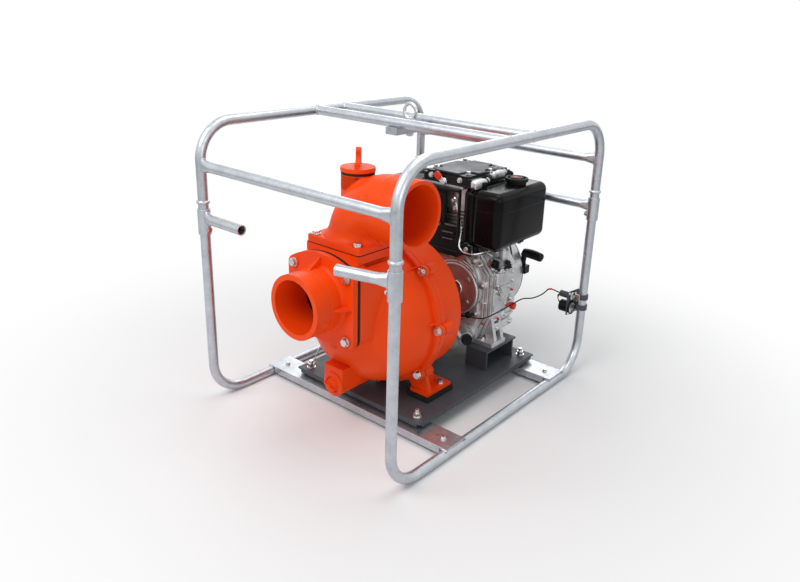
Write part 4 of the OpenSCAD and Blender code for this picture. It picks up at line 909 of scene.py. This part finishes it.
def make_cover_face():
    """The cast end plate: a disc with an opening for the crank, its reddish colour a painted reflection of
    the orange casing on grey metal, and ridges stepping back from it with dark bars in their grooves as
    painted shade.
    """
    disc = bmesh.new()
    part_skin(disc, [(27, 160.6), (50, 160.6), (74, 160.6), (75.4, 161.4), (76, 164.6)],
              lambda p: off_shaft(p) > 60 and p.x < 157)
    # The disc's reddish colour is a painted reflection of the orange casing on grey metal
    piece("cover_disc", disc, "primer_paint")

    ridges = bmesh.new()
    profile = [(74.6, 164.8), (75.4, 158.6), (76.2, 158.0), (80.4, 158.0), (81.2, 158.8), (82, 161.8),
               (84.4, 162.2), (85.4, 159.9), (89.4, 159.9), (90.2, 162.6), (92.6, 163.0), (93.6, 161.2),
               (96, 161.2), (97.4, 165.2)]
    part_skin(ridges, profile, lambda p: 62 < off_shaft(p) < 133 and p.z < 378.5 and p.x < 157.5)
    piece("cover_ridges", ridges, "cast_aluminium")
    # Dark bars laid along the grooves between the ridges: painted shade in the grooves
    grooves = bmesh.new()
    for radius in (83.2, 91.4, 98.6):
        kept = [p for p in plate_ring(radius, 162.6) if 64 < off_shaft(p) < 131 and p.z < 376 and p.x < 155]
        for a, b in zip(kept, kept[1:]):
            if (b - a).length < 8:
                sweep(grooves, [a, b], 1.25, 6)
    piece("cover_grooves", grooves, "cast_iron")


def make_cover_details():
    """The cover's machined rims and the ribs on its side."""
    bright = bmesh.new()
    lathe(bright, (0, 165.2, SHAFT_Z), FRONT, [(118.2, 0), (126.8, 0), (126.2, 1.0), (118.8, 1.0)], 120)
    piece("machined_rim", bright, "machined_aluminium")
    boss = bmesh.new()
    lathe(boss, (56, 161, 282), FRONT, [(20, 0), (25, 0), (25, 8), (24, 9.4), (21, 9.4), (20, 8)], 48)
    piece("ring_boss", boss, "machined_aluminium")
    ribs = bmesh.new()
    for z in (160, 186, 324, 350):
        rounded_block(ribs, (158, 204, z - 3), (165, 320, z + 3), 1.6, 2)
    for angle in (-58, -35, -12, 12, 33, 52):
        prism(ribs, [(0, 0), (22, 0), (30, 14), (0, 14)], about_shaft(angle, 128, 171), off_x(angle),
              BACK, 4.0)
    piece("cover_ribs", ribs, "cast_aluminium", edge=1.0)


def make_oil_cap():
    """The oil filler's moulded cap, ribbed around its rim."""
    shape = bmesh.new()
    out = Vector((cos(radians(35)), -sin(radians(35)), 0))
    root = Vector((88, 150, 148))
    lathe(shape, root, out, [(0, 48), (13.4, 48), (13.6, 52.4), (16, 54), (16, 64.5), (14.6, 66), (9, 66),
                             (8, 64.8), (0, 64.8)], 48)
    side, up, _ = frame_of(out)
    for c, s in all_round(18):
        lathe(shape, root + out * 55 + (side * c + up * s) * 16.0, out,
              [(0, 0), (1.3, 0), (1.3, 8.6), (0, 9)], 8)
    prism(shape, [(-11, -2.2), (11, -2.2), (11, 2.2), (-11, 2.2)], root + out * 64, side, up, -4.0)
    piece("oil_cap_moulding", shape, "black_plastic", body="oil_lid", replaced=("oil_cap",))


def make_case_seams():
    """The shadowed joints between the stepped faces of the crankcase's cover."""
    seams = bmesh.new()
    for inset, y, bead in ((18.6, 184.6, 1.5), (9.6, 191.6, 1.5), (0.4, 200.0, 1.0)):
        for way in (1, -1):
            path = [(60, 126 + inset), (138 - inset, 126 + inset), (162 - inset, 196), (162 - inset, 336),
                    (122 - inset, 387)]
            if inset > 10:
                path = path[1:]
            sweep(seams, [Vector((way * x, y, z)) for x, z in path], bead, 8)
    piece("case_seams", seams, "cast_iron")


def make_side_details():
    """Castings, rods and springs of the governor and the injection pump on the engine's right side."""
    cast = bmesh.new()
    rounded_block(cast, (160, 206, 296), (170.6, 292, 340), 4.0, 3)
    lathe(cast, (160, 292, 300), RIGHT, [(0, 0), (17, 0), (17, 8), (14, 10.8), (0, 10.8)], 32)
    lathe(cast, (160, 226, 344), RIGHT, [(0, 0), (11, 0), (11, 12), (9, 15), (0, 15)], 32)
    lathe(cast, (158, 290, 240), RIGHT, [(0, 0), (22, 0), (22, 6), (18, 9), (0, 9)], 36)
    rounded_block(cast, (160, 214, 150), (170, 300, 176), 4.0, 3)
    lathe(cast, (160, 262, 195), RIGHT, [(0, 0), (15, 0), (15, 7), (11, 10), (0, 10)], 32)
    piece("side_castings", cast, "cast_aluminium", edge=0.8)
    steel = bmesh.new()
    for x, y, z in ((170.8, 292, 300), (175, 226, 344), (167, 290, 240), (170, 222, 163), (170, 292, 163),
                    (170, 262, 195), (170.6, 284, 332)):
        hex_head(steel, (x, y, z), RIGHT, 6.0, 4.4)
    for y in (214, 280):
        hex_head(steel, (167, y, 282), RIGHT, 6.0, 2.8)
    rod = [(168, 236, 348), (174, 246, 346), (175, 270, 342), (174, 292, 334), (166, 304, 322)]
    sweep(steel, spline(rod, 6), 1.5, 8)
    spring = []
    for k in range(97):
        t = 2 * pi * k / 12
        spring.append(Vector((173 + 3 * cos(t), 244 + k * 0.45, 234 + 3 * sin(t))))
    sweep(steel, spring, 0.6, 6)
    sweep(steel, spline([(150, 200, 382), (152, 196, 392), (150, 190, 400), (140, 186, 404)], 6), 3.0, 10)
    piece("side_rods", steel, "plated_steel")
    rubber = bmesh.new()
    lathe(rubber, (166, 262, 366), (0.3, 0.3, -1),
          [(0, 0), (7, 0), (8, 6), (6, 9), (8, 13), (6, 17), (7, 22), (0, 22)], 24)
    hose = [(158, 205, 360), (166, 214, 350), (170, 236, 346), (168, 262, 356), (152, 268, 372)]
    sweep(rubber, spline(hose, 8), 4.0)
    sweep(rubber, spline([(60, 322, 480), (66, 330, 430), (120, 330, 400), (136, 332, 360), (142, 330, 320),
                          (128, 332, 250), (110, 330, 190)], 8), 2.6, 10)
    sweep(rubber, spline([(112, 151, 206), (90, 152, 200), (70, 158, 196), (60, 168, 196)], 6), 2.4, 10)
    piece("side_hoses", rubber, "black_rubber", angle=60.0)
    red = bmesh.new()
    for place, out, r in (((150, 172, 187), (1, -0.4, 0), 4.0), ((163, 232, 188), RIGHT, 4.0),
                          ((163, 298, 266), RIGHT, 3.4)):
        lathe(red, place, out, [(0, 0), (r, 0), (r, 6), (r * 0.6, 8), (0, 8)], 20)
    piece("sealed_screws", red, "red_plastic")
    switch = bmesh.new()
    lathe(switch, (104, 166, 206), (0.4, -1, 0),
          [(0, 0), (10, 0), (10, 8), (8, 9), (8, 16), (5, 18), (0, 18)], 24)
    piece("pressure_switch", switch, "black_plastic")


def make_stop_lever():
    """The red stop lever, a thin arm with a thicker finger end."""
    lever = bmesh.new()
    pivot = Vector((171.3, 268, 228))
    turn = radians(-115)
    across = Vector((0, cos(turn), sin(turn)))
    up = Vector((0, -sin(turn), cos(turn)))
    outline = [(-6, -7), (6, -7), (6, 12), (9, 22), (11, 32), (7, 39), (-7, 39), (-11, 32), (-9, 22),
               (-6, 12)]
    prism(lever, outline, pivot, across, up, 3.2)
    outline = [(-10, 22), (10, 22), (11.5, 32), (7, 39.5), (-7, 39.5), (-11.5, 32)]
    prism(lever, outline, pivot, across, up, 12)
    lathe(lever, (170.5, 268, 228), RIGHT, [(0, 0), (8.5, 0), (8.5, 4.5), (6, 6.5), (0, 6.5)], 28)
    piece("stop_lever_moulding", lever, "red_plastic", body="stop", edge=1.2, replaced=("stop_lever",))


def make_grip():
    """The starter's grip with its stem, and the guide that the rope comes out of."""
    shape = bmesh.new()
    rounded = 0.12

    def girth(share):
        end = min(share, 1 - share)
        swell = 1.0 + 0.12 * sin(pi * share)
        return 13.0 * swell * (sqrt(1 - (1 - end / rounded) ** 2) if end < rounded else 1.0) + 0.05

    bar = [(129, 409, 351), (146, 409, 352), (164, 409, 352), (184, 409, 350), (201, 409, 347)]
    sweep(shape, spline(bar, 12), girth, 24)
    lathe(shape, (134, 409, 311.6), UP, [(0, 0), (7, 0), (8, 4), (7, 8), (9, 30), (11, 36), (0, 36)], 28)
    piece("starter_grip_moulding", shape, "black_plastic", body="starter_grip", replaced=("recoil_handle",))
    guide = bmesh.new()
    lathe(guide, (134, 409, 303), UP, [(4.5, 0), (10, 0), (10, 6), (8, 8), (4.5, 8)], 28)
    piece("rope_guide", guide, "black_plastic")


def make_back_details():
    """Screws of the fan housing, tank and cleaner, the cleaner's ribs and the muffler's slotted shield."""
    screws = bmesh.new()
    for k in range(6):
        hex_head(screws, about_shaft(30 + 60 * k, 130, 399), BACK, 6.0, 4.4)
    lathe(screws, (0, 421, SHAFT_Z), BACK, [(0, 0), (14, 0), (14, 3), (9, 5), (0, 5)], 32)
    for y in TANK_FEET_Y:
        for x in (92, 170):
            hex_head(screws, (x, y + 12, 417), DOWN, 6.0, 4.4)
    for x, z in ((-70, 560), (44, 560), (-76, 440), (50, 440)):
        hex_head(screws, (x, 395, z), BACK, 6.0, 4.4)
    hex_head(screws, (-212, CLEANER_Y, CLEANER_Z), LEFT, 8.0, 6.0)
    for z in (500, 540):
        hex_head(screws, (-205, 173, z), LEFT, 5.5, 4.0)
    piece("back_screws", screws, "plated_steel")
    wing = bmesh.new()
    for turn in (0, 180):
        t = radians(turn + 30)
        across = Vector((0, cos(t), sin(t)))
        prism(wing, [(3, 0), (16, 3), (20, 9), (15, 13), (3, 6)], (-218, CLEANER_Y, CLEANER_Z),
              across, LEFT, 3.0)
    lathe(wing, (-213, CLEANER_Y, CLEANER_Z), LEFT, [(0, 0), (6, 0), (5, 10), (0, 10)], 20)
    piece("cleaner_wing_nut", wing, "plated_steel", edge=0.6)
    rim = bmesh.new()
    lathe(rim, (-188, CLEANER_Y, CLEANER_Z), LEFT, [(61.5, 0), (64, 0), (64.5, 2), (64, 4), (61.5, 4)], 72)
    lathe(rim, (-112, CLEANER_Y, CLEANER_Z), LEFT, [(61.5, 0), (63.6, 0), (63.6, 3), (61.5, 3)], 72)
    for c, s in all_round(16):
        prism(rim, [(20, 0), (44, 0), (44, 1.6), (20, 1.6)], (-211.5, CLEANER_Y + 1.5 * s, CLEANER_Z),
              (0, c, s), LEFT, 3.0)
    piece("cleaner_ribs", rim, "black_paint", edge=0.4)
    shield = bmesh.new()
    for k in range(7):
        rounded_block(shield, (-207.5, 128 + 14 * k, 474), (-203.5, 134 + 14 * k, 566), 1.6, 2)
    rounded_block(shield, (-200, 108, 517), (-98, 113, 523), 2.0, 2)
    lathe(shield, (-229, 180, 500), LEFT,
          [(12.6, -10), (15.2, -10), (15.2, 0.6), (14.4, 1.4), (12.6, 1.2)], 36)
    piece("muffler_shield", shield, "black_paint")


def make_instruments():
    """The hour meter's rim and ticks, the switch's nut, the plate's bolts and the wires behind."""
    meter_y, meter_z = 412, 215
    face = bmesh.new()
    lathe(face, (316, meter_y, meter_z), RIGHT,
          [(0, 0.2), (17.5, 0.2), (18, 1.6), (20.8, 1.6), (21.3, 0), (21.3, -3), (0, -3)], 48)
    piece("meter_rim", face, "black_plastic", edge=0.4)
    dial = bmesh.new()
    lathe(dial, (316.1, meter_y, meter_z), RIGHT, [(0, 0), (17, 0), (17, 0.5), (0, 0.5)], 48)
    for k in range(-4, 5):
        t = radians(90 + 30 * k)
        out = Vector((0, cos(t), sin(t)))
        prism(dial, [(12, -0.5), (16, -0.5), (16, 0.5), (12, 0.5)], (316.4, meter_y, meter_z), out,
              out.cross(Vector(RIGHT)), -0.6)
    piece("meter_dial", dial, "machined_aluminium")
    nut = bmesh.new()
    lathe(nut, (315, 410, 253), RIGHT, [(4.3, 0), (12.6, 0), (12.6, 1.8), (10.5, 3.2), (4.3, 3.2)], 36)
    for y, z in ((435, 200), (435, 256), (396, 200), (396, 264)):
        hex_head(nut, (312, y, z), RIGHT, 4.0, 3.0)
    piece("switch_nut", nut, "plated_steel")
    wires = bmesh.new()
    for shift in (-5, 0, 5):
        route = [(280, 410 + shift, 254), (268, 412 + shift, 246), (266, 414, 230), (279, 412 + shift, 216)]
        sweep(wires, spline(route, 8), 1.3, 8)
    piece("meter_wires", wires, "black_rubber", angle=60.0)


make_bonnet_details()
make_decompression()
make_tank()
make_top_fittings()
make_cowl_details()
make_cover_face()
make_cover_details()
make_case_seams()
make_oil_cap()
make_side_details()
make_stop_lever()
make_grip()
make_back_details()
make_instruments()
